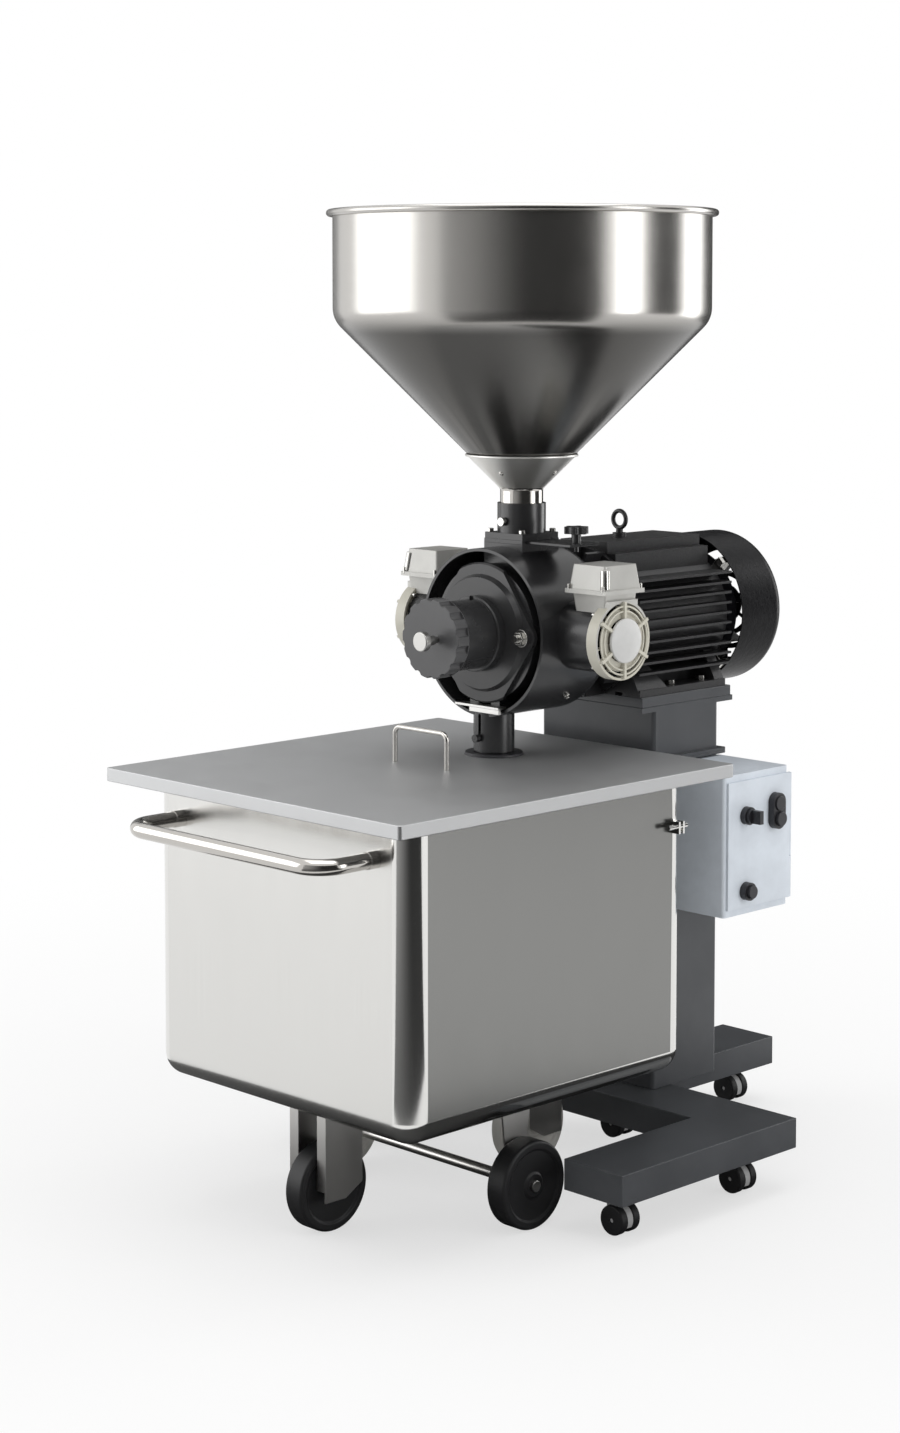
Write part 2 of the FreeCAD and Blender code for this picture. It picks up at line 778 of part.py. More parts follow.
def make_motor():
    """Finned motor with feet, bearing shield, cowl, eyebolt and terminal box."""
    axis = d.axis_level
    length = d.motor_rear - d.motor_front
    core = rod("Y", (0, d.motor_front, axis), d.motor_core_radius, length)
    top = box((-d.motor_top_half_width, d.motor_top_half_width), (d.motor_front, d.motor_rear),
              (axis, axis + d.motor_top))
    step = box((-d.motor_step_half_width, d.motor_step_half_width), (d.motor_front, d.motor_rear),
               (axis, axis + d.motor_step))
    fins = []
    for index in range(-5, 5):
        level = axis + d.fin_lift + d.fin_pitch * index
        fins.append(box((-d.motor_half_width, d.motor_half_width), (d.motor_front, d.motor_rear),
                        (level - d.fin_thickness / 2, level + d.fin_thickness / 2)))
    feet = [foot_web(d.motor_front, d.web_base, d.web_top),
            foot_web(d.foot_rear - d.rear_web, d.rear_web, d.rear_web)]
    for side in (-1, 1):
        inner = (d.motor_half_width - d.foot_rail) * side
        feet.append(box((inner, d.motor_half_width * side), (d.foot_front, d.foot_rear),
                        (d.foot_level, d.foot_level + d.foot_thickness)))
    saddle = box((-d.motor_step_half_width, d.motor_step_half_width), (d.motor_front, d.motor_rear),
                 (d.foot_level, axis))
    rear_ring = rod("Y", (0, d.motor_rear, axis), d.motor_core_radius - 4, d.end_ring)
    terminal = box((-d.terminal_reach, 0), (d.motor_front + 40, d.motor_front + 40 + d.terminal_half_length * 2),
                   (d.terminal_level - d.terminal_height / 2, d.terminal_level + d.terminal_height / 2))
    bore = rod("Y", (0, d.motor_front - 1, axis), d.shaft_radius + 2, length + d.end_ring + 2)
    stator = rod("Y", (0, d.rotor_front - 6, axis), d.rotor_radius + 1, d.rotor_rear - d.rotor_front + 12)
    bearing_seat = rod("Y", (0, d.motor_rear + d.end_ring - d.bearing_width, axis), d.bearing_radius,
                       d.bearing_width + 1)
    piece("motor_frame", cut(fuse(core, top, step, *fins, *feet, saddle, rear_ring, terminal),
                             bore, stator, bearing_seat))

    ribs = []
    shield_end = d.motor_front
    for x, z, angle in around(as_size(1), 16):
        rib = box((-d.shield_rib / 2, d.shield_rib / 2), (d.shield_front + d.shield_plate, shield_end - 4),
                  (axis + 50, axis + d.shield_rib_radius))
        ribs.append(spun(rib, angle))
    shell = turned("Y", (0, 0, axis), [
        (d.shaft_radius + 3, d.shield_front),
        (d.shield_radius, d.shield_front),
        (d.shield_radius, d.shield_front + d.shield_plate),
        (62, d.shield_front + d.shield_plate + 4),
        (78, shield_end - 14),
        (d.shield_rib_radius - 4, shield_end - 9),
        (d.shield_rib_radius - 4, shield_end),
        (d.shaft_radius + 3, shield_end)])
    piece("motor_shield", fuse(shell, *ribs))

    wall = d.cowl_wall
    cowl = turned("Y", (0, 0, axis), [
        (d.cowl_radius - wall, d.cowl_front),
        (d.cowl_radius, d.cowl_front),
        (d.cowl_radius, d.cowl_rear, d.cowl_round),
        (0, d.cowl_rear),
        (0, d.cowl_rear - wall),
        (d.cowl_radius - wall, d.cowl_rear - wall, d.cowl_round - wall)])
    slots = []
    for radius in (34, 58, 82):
        slots.append(turned("Y", (0, d.cowl_rear - wall * 2, axis), [
            (radius, 0), (radius + 15, 0), (radius + 15, wall * 3), (radius, wall * 3)]))
    spokes = [spun(box((-3, 3), (d.cowl_rear - wall * 3, d.cowl_rear + wall * 2), (axis, axis + d.cowl_radius)), angle)
              for x, z, angle in around(as_size(1), 6)]
    piece("motor_cowl", cut(cowl, cut(group_tool(slots), *spokes)))

    eye_foot = axis + d.motor_top
    piece("eyebolt", fuse(
        hoop((0, d.eye_place, d.eye_level), d.eye_radius, d.eye_wire, TURNS["Y"]),
        rod("Z", (0, d.eye_place, eye_foot + 7), 6, d.eye_level - d.eye_radius - eye_foot - 7),
        rod("Z", (0, d.eye_place, eye_foot), 12, 8)))

    blades = [spun(box((-1.5, 1.5), (d.fan_front, d.fan_front + d.fan_width),
                       (axis + d.fan_hub_radius - 3, axis + d.fan_radius)), angle)
              for x, z, angle in around(as_size(1), 9)]
    disc = rod("Y", (0, d.fan_front, axis), d.fan_radius, 3)
    hub = rod("Y", (0, d.fan_front, axis), d.fan_hub_radius, d.fan_width)
    piece("motor_fan", cut(fuse(disc, hub, *blades), rod("Y", (0, d.fan_front - 1, axis),
                                                         d.shaft_radius + d.running_gap, d.fan_width + 2)))


def foot_web(start, base, top):
    """A tapered web across the motor's feet, from its front at start, wider at its base than at its top."""
    half = d.motor_half_width
    top_half = half - d.web_depth
    low, high = d.foot_level + d.foot_thickness / 2, d.axis_level - d.web_level
    across = padded("Y", (0, start + base, 0), base, [
        (-half, low),
        (half, low),
        (top_half, high),
        (-top_half, high)])
    along = padded("X", (-half, 0, 0), half * 2, [
        (start, low),
        (start + base, low),
        (start + top, high),
        (start, high)])
    return common(across, along)


def spun(thing, angle):
    """Turn a solid about the drive line by an angle in degrees."""
    turned_copy = doc.addObject("Part::Compound", "Spun")
    turned_copy.Links = [thing]
    turned_copy.Placement = Placement(Vector(), Rotation(Vector(0, 1, 0), angle),
                                      Vector(0, 0, d.axis_level.number))
    radians = math.radians(angle)
    turned_copy.setExpression("Placement.Base.x", (d.axis_level * -math.sin(radians)).text)
    turned_copy.setExpression("Placement.Base.z", (d.axis_level * (1 - math.cos(radians))).text)
    return turned_copy


def make_drive():
    """Main shaft with its rotor, the bearings and the two grinding discs."""
    axis = d.axis_level
    cover_back = d.head_front + d.cover_thickness
    fixed_face = cover_back + d.burr_thickness
    moving_face = fixed_face + d.burr_gap
    shaft_front = moving_face + d.burr_thickness / 2
    piece("main_shaft", turned("Y", (0, 0, axis), [
        (0, shaft_front),
        (d.shaft_radius, shaft_front),
        (d.shaft_radius, d.rotor_front),
        (d.rotor_radius, d.rotor_front),
        (d.rotor_radius, d.rotor_rear),
        (d.shaft_radius, d.rotor_rear),
        (d.shaft_radius, d.shaft_rear),
        (0, d.shaft_rear)]))
    rings = []
    bore = d.shaft_radius + d.running_gap
    for start in (d.shield_front - d.bearing_width, d.motor_rear + d.end_ring - d.bearing_width):
        rings.append(turned("Y", (0, start, axis), rectangle((bore, d.bearing_radius - d.running_gap),
                                                             (0, d.bearing_width))))
    piece("bearings", group(*rings))
    teeth, moving_teeth = [], []
    for x, z, angle in around(as_size(1), 24):
        groove = box((-d.tooth_width / 2, d.tooth_width / 2), (fixed_face - d.tooth_depth, fixed_face + 1),
                     (axis + d.burr_inner + 4, axis + d.burr_outer + 2))
        teeth.append(spun(groove, angle))
        groove = box((-d.tooth_width / 2, d.tooth_width / 2), (moving_face - 1, moving_face + d.tooth_depth),
                     (axis + d.burr_inner + 4, axis + d.burr_outer + 2))
        moving_teeth.append(spun(groove, angle + 5))
    fixed = turned("Y", (0, 0, axis), [
        (d.burr_inner, cover_back),
        (d.burr_outer, cover_back),
        (d.burr_outer, fixed_face),
        (d.burr_inner + 10, fixed_face),
        (d.burr_inner, fixed_face - 6)])
    piece("fixed_burr", cut(fixed, *teeth))
    back = moving_face + d.burr_thickness
    carrier = turned("Y", (0, 0, axis), [
        (bore, moving_face + 6),
        (d.burr_inner, moving_face + 6),
        (d.burr_inner + 10, moving_face),
        (d.burr_outer, moving_face),
        (d.burr_outer, back),
        (d.shaft_radius + 18, back + 12),
        (bore, back + 12)])
    piece("rotating_burr", cut(carrier, *moving_teeth))


def make_head():
    """Grinding head: housing with its cooling jacket, cover, hub, hand wheel and lock pin."""
    axis = d.axis_level
    gap = d.clear_gap
    cover_back = d.head_front + d.cover_thickness
    rear = d.shield_front
    shell = turned("Y", (0, 0, axis), [
        (d.head_radius - d.head_wall, d.head_front),
        (d.head_radius, d.head_front),
        (d.head_radius, d.head_shoulder - 5, 34),
        (d.shield_radius, rear),
        (d.bearing_radius, rear),
        (d.bearing_radius, rear - d.bearing_width),
        (d.shaft_radius + 3, rear - d.bearing_width),
        (d.shaft_radius + 3, d.jacket_rear - 14),
        (d.chamber_radius, d.jacket_rear - 14),
        (d.chamber_radius, cover_back),
        (d.barrel_radius, cover_back),
        (d.barrel_radius, d.jacket_rear),
        (d.head_radius - d.head_wall, d.jacket_rear)])
    feed = d.feed_place
    pad = box((-d.pad_half_width, d.pad_half_width), (feed - d.pad_half_width, feed + d.pad_half_width),
              (axis + d.barrel_radius - 8, d.pad_top))
    nozzles = rod("X", (-d.nozzle_end, d.nozzle_place, d.nozzle_level), d.nozzle_radius, d.nozzle_end * 2)
    nozzle_bore = rod("X", (-d.nozzle_end - 1, d.nozzle_place, d.nozzle_level), d.nozzle_radius - d.nozzle_wall,
                      d.nozzle_end * 2 + 2)
    keep_barrel = rod("Y", (0, d.head_front, axis), d.barrel_radius, d.jacket_rear - d.head_front)
    spout = d.spout_place
    outlet = box((-d.spout_radius, d.spout_radius), (cover_back, spout + d.spout_radius),
                 (d.spout_top, axis - d.chamber_radius))
    body = fuse(cut(fuse(shell, cut(nozzles, keep_barrel)), cut(nozzle_bore, rod("Y", (0, d.head_front, axis),
                                                          d.barrel_radius, d.jacket_rear - d.head_front + 1))),
                pad, outlet)
    chamber = rod("Y", (0, cover_back - 1, axis), d.chamber_radius, d.jacket_rear - 13 - cover_back)
    piece("grinder_housing", cut(
        body,
        chamber,
        rod("Z", (0, feed, axis + d.chamber_radius / 2), d.throat_radius, d.pad_top - axis),
        rod("Z", (0, spout, d.spout_top - 1), d.outlet_bore, axis - d.spout_top - 20),
        rod("Z", (0, spout, d.spout_top - 40), d.spout_radius + gap, 40)))

    lug_y = (d.head_front, cover_back)
    cover = turned("Y", (0, 0, axis), [
        (d.hub_bore + 12, d.head_front - d.cover_dome),
        (d.cover_dome_radius - 5, d.head_front - d.cover_dome),
        (d.cover_dome_radius, d.head_front),
        (d.cover_radius - 3, d.head_front),
        (d.cover_radius, d.head_front + 3),
        (d.cover_radius, cover_back),
        (d.hub_bore + 12, cover_back)])
    slope = math.radians(d.cover_flat_slope.number)
    tip = d.cover_lug_offset + d.cover_lug_radius / math.cos(slope)
    crest = tip / math.tan(slope)
    flats = padded("Y", (0, cover_back, 0), d.cover_thickness + d.cover_dome + gap, [
        (tip, axis, d.cover_lug_radius),
        (0, axis + crest),
        (-tip, axis, d.cover_lug_radius),
        (0, axis - crest)])
    cover = common(cover, flats)
    lugs = [rod("Y", (d.cover_lug_offset * side, lug_y[0], axis), d.cover_lug_radius, d.cover_thickness)
            for side in (-1, 1)]
    lugs += [rod("Y", (d.cover_lug_offset * side, d.head_front - d.cover_dome, axis), 14,
                 d.cover_dome + d.cover_thickness) for side in (-1, 1)]
    holes = [rod("Y", (d.cover_lug_offset * side, d.head_front - 12, axis), d.stud_radius + gap, 24)
             for side in (-1, 1)]
    piece("front_cover", cut(fuse(cover, *lugs), *holes))

    dome = d.head_front - d.cover_dome
    wheel_back = d.hand_wheel_front + d.hand_wheel_width
    neck = d.hub_bore + 12 - d.running_gap
    notch = box((-d.notch_half_width, d.notch_half_width),
                (dome - d.hub_flange - d.notch_half_width, dome - d.hub_flange + d.notch_half_width),
                (axis + d.hub_radius - d.notch_depth, axis + d.hub_radius + 1))
    piece("hub_collar", cut(turned("Y", (0, 0, axis), [
        (d.hub_bore, cover_back),
        (neck, cover_back),
        (neck, dome),
        (d.hub_radius, dome),
        (d.hub_radius, dome - d.hub_flange + 2),
        (d.hub_radius - 2, dome - d.hub_flange),
        (d.hub_barrel_radius, dome - d.hub_flange),
        (d.hub_barrel_radius, wheel_back + gap),
        (d.hub_bore, wheel_back + gap)]), notch))
    wheel = turned("Y", (0, 0, axis), [
        (0, d.hand_wheel_front),
        (d.hand_wheel_radius, d.hand_wheel_front, 2),
        (d.hand_wheel_radius, wheel_back - 5),
        (d.hand_wheel_radius - 4, wheel_back),
        (d.hub_bore - d.running_gap, wheel_back),
        (d.hub_bore - d.running_gap, dome),
        (0, dome)])
    scallops = []
    reach = d.hand_wheel_radius + d.scallop_radius - d.scallop_depth
    for x, z, angle in around(as_size(1), 14):
        scallop = rod("Y", (0, d.hand_wheel_front - 1, axis + reach), d.scallop_radius, d.hand_wheel_width - 5)
        scallops.append(spun(scallop, angle))
    pin_x = d.lock_pin_offset
    pin_hole = rod("Y", (pin_x, d.hand_wheel_front - 1, axis), d.lock_pin_radius + gap, 17)
    piece("hand_wheel", cut(wheel, *scallops, pin_hole))
    knob_front = d.hand_wheel_front - d.lock_pin_reach
    piece("lock_pin", turned("Y", (pin_x, 0, axis), [
        (0, knob_front),
        (d.lock_knob_radius, knob_front, 2),
        (d.lock_knob_radius, knob_front + 11),
        (8, knob_front + 13),
        (8, d.hand_wheel_front - 8),
        (d.lock_pin_radius, d.hand_wheel_front - 8),
        (d.lock_pin_radius, d.hand_wheel_front + 14),
        (0, d.hand_wheel_front + 14)]))


def make_outlet():
    """Outlet tube with its slot, the sliding sleeve and the strip under the cover."""
    spout = d.spout_place
    height = d.spout_top - d.spout_bottom
    tube = cut(rod("Z", (0, spout, d.spout_bottom), d.spout_radius, height),
               rod("Z", (0, spout, d.spout_bottom - d.tool_reach), d.spout_radius - d.spout_wall,
                   height + d.tool_length))
    front = (spout - d.spout_radius - d.tool_length, spout)
    slot = fuse(box((-d.slot_half_width, d.slot_half_width), front, (d.slot_low, d.slot_high)),
                rod("Y", (0, front[0], d.slot_low), d.slot_half_width, d.spout_radius),
                rod("Y", (0, front[0], d.slot_high), d.slot_half_width, d.spout_radius))
    piece("outlet_chute", cut(tube, slot))
    sleeve_radius = d.spout_radius - d.spout_wall - d.clear_gap
    bottom = d.lid_top + d.ring_height + d.clear_gap
    sleeve = cut(rod("Z", (0, spout, bottom), sleeve_radius, d.sleeve_top - bottom),
                 rod("Z", (0, spout, bottom - d.tool_reach), sleeve_radius - d.sleeve_wall,
                     d.sleeve_top - bottom + d.tool_length))
    screw_front = spout - d.spout_radius - d.sleeve_screw_reach
    screw_start = screw_front + d.sleeve_screw_head
    piece("outlet_sleeve", fuse(
        sleeve,
        rod("Y", (0, screw_start, d.slot_low), d.sleeve_screw_radius,
            spout - sleeve_radius + d.tool_reach - screw_start),
        rod("Y", (0, screw_front, d.slot_low), d.sleeve_knob_radius, d.sleeve_knob_length)))
    cover_back = d.head_front + d.cover_thickness
    strip_front = cover_back - d.strip_depth
    strip = box((-d.strip_half_length, d.strip_half_length), (strip_front, cover_back),
                (d.strip_level - d.strip_thickness, d.strip_level))
    foot = box((-d.strip_foot_start, d.strip_half_length),
               (spout - d.spout_radius - d.strip_foot_reach, spout - d.spout_radius - d.tool_reach),
               (d.strip_level - d.strip_foot_drop, d.strip_level - d.strip_thickness))
    piece("strip_bracket", fuse(strip, foot))


def make_feed():
    """Feed tube on its flange, the gate frame and the sliding gate with its knob."""
    feed = d.feed_place
    half = d.pad_half_width
    gate_top = d.gate_top
    slide_gap = d.clear_gap
    rail = d.gate_rail
    frame = box((-half, half), (feed - half, feed + half), (d.pad_top, gate_top))
    channel = box((d.gate_tail - slide_gap, half + d.tool_reach),
                  (feed - d.gate_half_width - slide_gap, feed + d.gate_half_width + slide_gap),
                  (d.pad_top + rail - slide_gap, gate_top - rail + slide_gap))
    throat = rod("Z", (0, feed, d.pad_top - d.tool_reach), d.throat_radius, d.gate_height + d.tool_length)
    piece("gate_body", cut(frame, channel, throat))
    knob_x = d.gate_knob_place
    knob_level = gate_top + d.knob_rise
    lobes = []
    for x, y, angle in around(d.gate_knob_radius + d.knob_lobe_offset, 6, 30):
        lobes.append(rod("Z", (knob_x + x, feed + y, knob_level - d.tool_reach), d.knob_lobe_radius,
                         d.knob_height + d.tool_length))
    star = cut(rod("Z", (knob_x, feed, knob_level), d.gate_knob_radius, d.knob_height), *lobes)
    plate = box((d.gate_tail, d.gate_end), (feed - d.gate_half_width, feed + d.gate_half_width),
                (d.pad_top + rail, gate_top - rail))
    piece("gate_slide", fuse(
        plate, star,
        rod("Z", (knob_x, feed, d.pad_top - d.knob_screw_reach), d.knob_screw_radius,
            knob_level - d.pad_top + d.knob_screw_reach),
        rod("Z", (knob_x, feed, gate_top - rail), d.knob_stem_radius, knob_level - gate_top + rail)))
    half = d.flange_half_width
    flange_top = d.flange_top
    bore = d.feed_radius - d.feed_wall
    screw_level = d.tube_screw_level
    piece("feed_tube", cut(
        fuse(box((-half, half), (feed - half, feed + half), (gate_top, flange_top)),
             rod("Z", (0, feed, flange_top), d.feed_radius, d.feed_top - flange_top),
             rod("Y", (0, feed - d.feed_radius - d.tube_screw_reach, screw_level), d.tube_screw_radius,
                 d.tube_screw_head),
             rod("Y", (0, feed - d.feed_radius - d.tube_screw_stem, screw_level), d.tube_screw_stem,
                 d.tube_screw_stem_length)),
        rod("Z", (0, feed, flange_top), bore, d.feed_top),
        rod("Z", (0, feed, gate_top - d.tool_reach), d.throat_radius, d.flange_thickness + d.tool_length)))


def make_hopper():
    """Spun hopper of drum and cone, and the collar cone with its neck."""
    feed = d.feed_place
    sheet_wall = d.sheet
    slant = sheet_wall * (ROOT_TWO - 1)
    flange_top = d.flange_top
    radius = d.neck_radius
    top_radius = radius + d.lip_level - d.neck_top
    cone_at_lip = top_radius - (sheet_wall + d.clear_gap) * ROOT_TWO
    cone_foot = cone_at_lip - d.nest_depth
    foot_level = d.lip_level - d.nest_depth
    knee = d.lip_level + d.drum_radius - cone_at_lip
    inner = d.drum_radius - sheet_wall
    piece("hopper", fuse(
        turned("Z", (0, feed, 0), [
            (cone_foot, foot_level),
            (d.drum_radius, knee, d.drum_round),
            (d.drum_radius, d.rim_level),
            (inner, d.rim_level),
            (inner, knee + slant, d.drum_round - sheet_wall),
            (cone_foot - sheet_wall - slant, foot_level)]),
        hoop((0, feed, d.rim_level), d.drum_radius + d.rim_wire - sheet_wall / 2, d.rim_wire, Rotation())))
    bead_radius = cone_at_lip + (d.lip_wire + d.clear_gap) * ROOT_TWO
    piece("hopper_collar", fuse(
        turned("Z", (0, feed, 0), [
            (radius - sheet_wall, flange_top),
            (radius, flange_top),
            (radius, d.neck_top, 8),
            (top_radius, d.lip_level),
            (top_radius - sheet_wall * ROOT_TWO, d.lip_level),
            (radius - sheet_wall, d.neck_top + slant, 10)]),
        hoop((0, feed, d.lip_level), bead_radius, d.lip_wire, Rotation())))


def make_side_fans():
    """Cooling fan, grille and wiring box on each side of the head."""
    y, level = d.nozzle_place, d.nozzle_level
    for name, side in (("right", 1), ("left", -1)):
        start = d.nozzle_end
        end = d.nozzle_end + d.side_fan_depth
        parts = []
        ring = cut(rod("X", (start, y, level), d.side_fan_radius, end - start),
                   rod("X", (start - 1, y, level), d.side_fan_radius - d.side_fan_wall, end - start + 2))
        parts.append(ring)
        for radius in (47, 55):
            parts.append(hoop((end + 2, y, level), as_size(radius), as_size(1.6), TURNS["X"]))
        disc = turned("X", (end, y, level), [
            (0, d.side_disc_reach - end - 5), (d.side_disc_radius, 4), (d.side_disc_radius, 8, 2),
            (0, d.side_disc_reach - end)])
        parts.append(disc)
        for index in range(6):
            angle = 60.0 * index
            spoke = box((end - 3, end + 6), (y - 2.5, y + 2.5), (level + 30, level + d.side_fan_radius - 2))
            parts.append(spun_about_x(spoke, y, level, angle))
        back = [box((start, start + 3), (y - 3, y + 3), (level + 8, level + d.side_fan_radius - 2))]
        for index in range(3):
            parts.append(spun_about_x(back[0], y, level, 120.0 * index + 30))
        parts.append(rod("X", (start, y, level), d.side_hub_radius - 4, 4))
        parts.append(rod("X", (start, y, level), 4, 16))
        half = d.fan_box_half_length
        inner, outer = d.fan_box_inner, d.fan_box_outer
        lip = d.fan_box_lip_reach
        inset = d.fan_box_foot_inset
        ring_bore = d.side_fan_radius - d.side_fan_wall / 2
        lower = cut(lofted_box((inner + inset, outer - inset), (y - half + inset, y + half - inset),
                               d.fan_box_foot, d.fan_box_lip, -inset / 2),
                    rod("X", (inner, y, level), d.nozzle_radius + d.clear_gap, start - inner),
                    rod("X", (start, y, level), ring_bore, outer - start + 1))
        collar = cut(box((start, end), (y - half + inset, y + half - inset),
                         (d.fan_box_foot, level + d.side_fan_radius)),
                     rod("X", (start, y, level), ring_bore, end - start))
        flange = box((inner - lip, outer + lip), (y - half - lip, y + half + lip),
                     (d.fan_box_lip - lip, d.fan_box_lip + lip - 1))
        upper = lofted_box((inner, outer), (y - half, y + half), d.fan_box_lip + 3, d.fan_box_top, d.fan_box_taper)
        unit = fuse(*parts, lower, collar, flange, upper)
        rotor = [rod("X", (start + 4 + d.clear_gap, y, level), d.side_hub_radius, 12)]
        blade = box((start + 6, start + 15), (y - 1.2, y + 1.2), (level + 15, level + d.side_fan_radius - 10))
        for index in range(7):
            rotor.append(spun_about_x(blade, y, level, 360.0 * index / 7))
        impeller = cut(fuse(*rotor), rod("X", (start, y, level), 4 + d.running_gap, 20))
        if side < 0:
            unit = mirrored(unit)
            impeller = mirrored(impeller)
        piece("side_fan_" + name, unit)
        piece("impeller_" + name, impeller)


def lofted_box(x, y, bottom, top, draw_in):
    """A box whose four sides lean in towards the top."""
    body = doc.addObject("PartDesign::Body", "Leaning")
    place(body, 0, 0, bottom)
    loops = [rectangle(x, y, as_size(4)),
             rectangle((x[0] + draw_in, x[1] - draw_in), (y[0] + draw_in, y[1] - draw_in), as_size(4))]
    sketches = [draw(body, "XY_Plane", [loop]) for loop in loops]
    sketches[1].AttachmentOffset = Placement(Vector(0, 0, (top - bottom).number), Rotation())
    sketches[1].setExpression("AttachmentOffset.Base.z", (top - bottom).text)
    loft = body.newObject("PartDesign::AdditiveLoft", "Loft")
    loft.Profile = sketches[0]
    loft.Sections = [sketches[1]]
    loft.Ruled = True
    return body


def mirrored(thing):
    """The mirror image of a solid on the other side of the machine."""
    twin = doc.addObject("Part::Mirroring", "Mirrored")
    twin.Source = thing
    twin.Normal = Vector(1, 0, 0)
    twin.Base = Vector(0, 0, 0)
    return twin


def spun_about_x(thing, y, level, angle):
    """Turn a solid about a line along X by an angle in degrees."""
    turned_copy = doc.addObject("Part::Compound", "Spun")
    turned_copy.Links = [thing]
    centre_y, centre_z = y - DATUM, level
    radians = math.radians(angle)
    cosine, sine = math.cos(radians), math.sin(radians)
    move_y = centre_y * (1 - cosine) + centre_z * sine
    move_z = centre_z * (1 - cosine) - centre_y * sine
    turned_copy.Placement = Placement(Vector(0, move_y.number, move_z.number), Rotation(Vector(1, 0, 0), angle))
    turned_copy.setExpression("Placement.Base.y", move_y.text)
    turned_copy.setExpression("Placement.Base.z", move_z.text)
    return turned_copy


def make_control_box():
    """Control box on the column's side, its hinged door, switch and push buttons."""
    inner, outer = d.column_half_width, d.control_outer
    front, rear = d.column_front, d.column_rear
    bottom, top = d.control_bottom, d.control_top
    wall = d.control_wall
    case = rectangle((inner, outer), (front, rear), d.control_round)
    case_inner = rectangle((inner + wall, outer - wall), (front + wall, rear - wall), d.control_round - wall)
    shell = cut(padded("Z", (0, 0, bottom), top - bottom, case),
                padded("Z", (0, 0, bottom + wall), top - bottom - wall * 2, case_inner),
                box((outer - wall * 2, outer + d.tool_reach),
                    (front + d.door_margin * 1.5, rear - d.door_margin * 1.5),
                    (bottom + d.door_margin * 2, top - d.door_margin * 2)),
                rod("Z", (inner + d.gland_offset, (front + rear) / 2, bottom - d.tool_reach), d.gland_radius,
                    wall + d.tool_length))
    face = outer + d.clear_gap
    panel_face = face + d.door_thickness
    hinge_y = rear + d.hinge_offset
    door_low, door_high = bottom + d.door_margin, top - d.door_margin
    knuckle = (door_high - door_low) / 3
    hinge_x = outer - d.hinge_inset
    length = knuckle - d.knuckle_gap
    fixed = fuse(rod("Z", (hinge_x, hinge_y, door_low + knuckle), d.hinge_radius, length),
                 box((hinge_x - d.hinge_leaf, hinge_x), (rear, rear + d.hinge_sheet),
                     (door_low + knuckle, door_low + knuckle + length)))
    pin = rod("Z", (hinge_x, hinge_y, door_low), d.hinge_pin_radius, door_high - door_low)
    piece("control_enclosure", fuse(shell, fixed, pin))
    door_front = front + d.door_margin / 2
    door_rear = hinge_y - d.hinge_radius - d.clear_gap
    panel = box((face, panel_face), (door_front, door_rear), (door_low, door_high))
    outer_knuckles = [cut(fuse(rod("Z", (hinge_x, hinge_y, low), d.hinge_radius, length),
                               box((face, panel_face), (door_rear, hinge_y), (low, low + length))),
                          rod("Z", (hinge_x, hinge_y, low - d.tool_reach), d.hinge_pin_radius + d.hinge_play,
                              knuckle + d.tool_length))
                      for low in (door_low, door_low + knuckle * 2)]
    rotary = (d.rotary_place, d.rotary_level)
    round_spot = (d.rotary_place, d.round_level)
    oval = (d.oval_place, d.oval_level)
    proud = panel_face + d.button_depth
    bezel_depth = d.button_depth - d.bezel_recess
    across = d.oval_half_width + d.bezel_side
    along = d.oval_half_height + d.bezel_end
    bezel = padded("X", (panel_face, 0, 0), bezel_depth, rectangle(
        (oval[0] - across, oval[0] + across), (oval[1] - along, oval[1] + along),
        d.oval_half_width + d.bezel_corner))
    button_radius = d.oval_half_width - d.button_play
    well_start = face - d.tool_reach
    wells = [rod("X", (well_start, oval[0], oval[1] + d.button_spacing * side), button_radius + d.clear_gap,
                 d.button_well) for side in (-1, 1)]
    round_bezel = rod("X", (panel_face, *round_spot), d.round_bezel_radius, bezel_depth)
    round_well = rod("X", (well_start, *round_spot), d.round_button_radius + d.clear_gap, d.button_well)
    rotary_base = rod("X", (panel_face, *rotary), d.round_bezel_radius, d.rotary_base_height)
    rotary_well = rod("X", (well_start, *rotary), d.rotary_shaft_radius + d.running_gap, d.button_well)
    piece("control_door", cut(fuse(panel, *outer_knuckles, bezel, round_bezel, rotary_base),
                              *wells, round_well, rotary_well))
    collar = panel_face + d.rotary_base_height + d.clear_gap
    piece("rotary_switch", fuse(
        rod("X", (face + d.tool_reach, *rotary), d.rotary_shaft_radius, d.door_thickness + d.rotary_shaft_length),
        rod("X", (collar, *rotary), d.rotary_collar_radius, d.rotary_collar_height),
        box((collar, panel_face + d.rotary_reach),
            (rotary[0] - d.rotary_grip_half, rotary[0] + d.rotary_grip_half),
            (rotary[1] - d.rotary_grip_height, rotary[1] + d.rotary_grip_height))))
    for name, side, end in (("start_button", 1, proud - d.stop_reach), ("stop_button", -1, proud)):
        piece(name, rod("X", (face, oval[0], oval[1] + d.button_spacing * side), button_radius, end - face))
    piece("push_button", rod("X", (face, *round_spot), d.round_button_radius, proud - face))


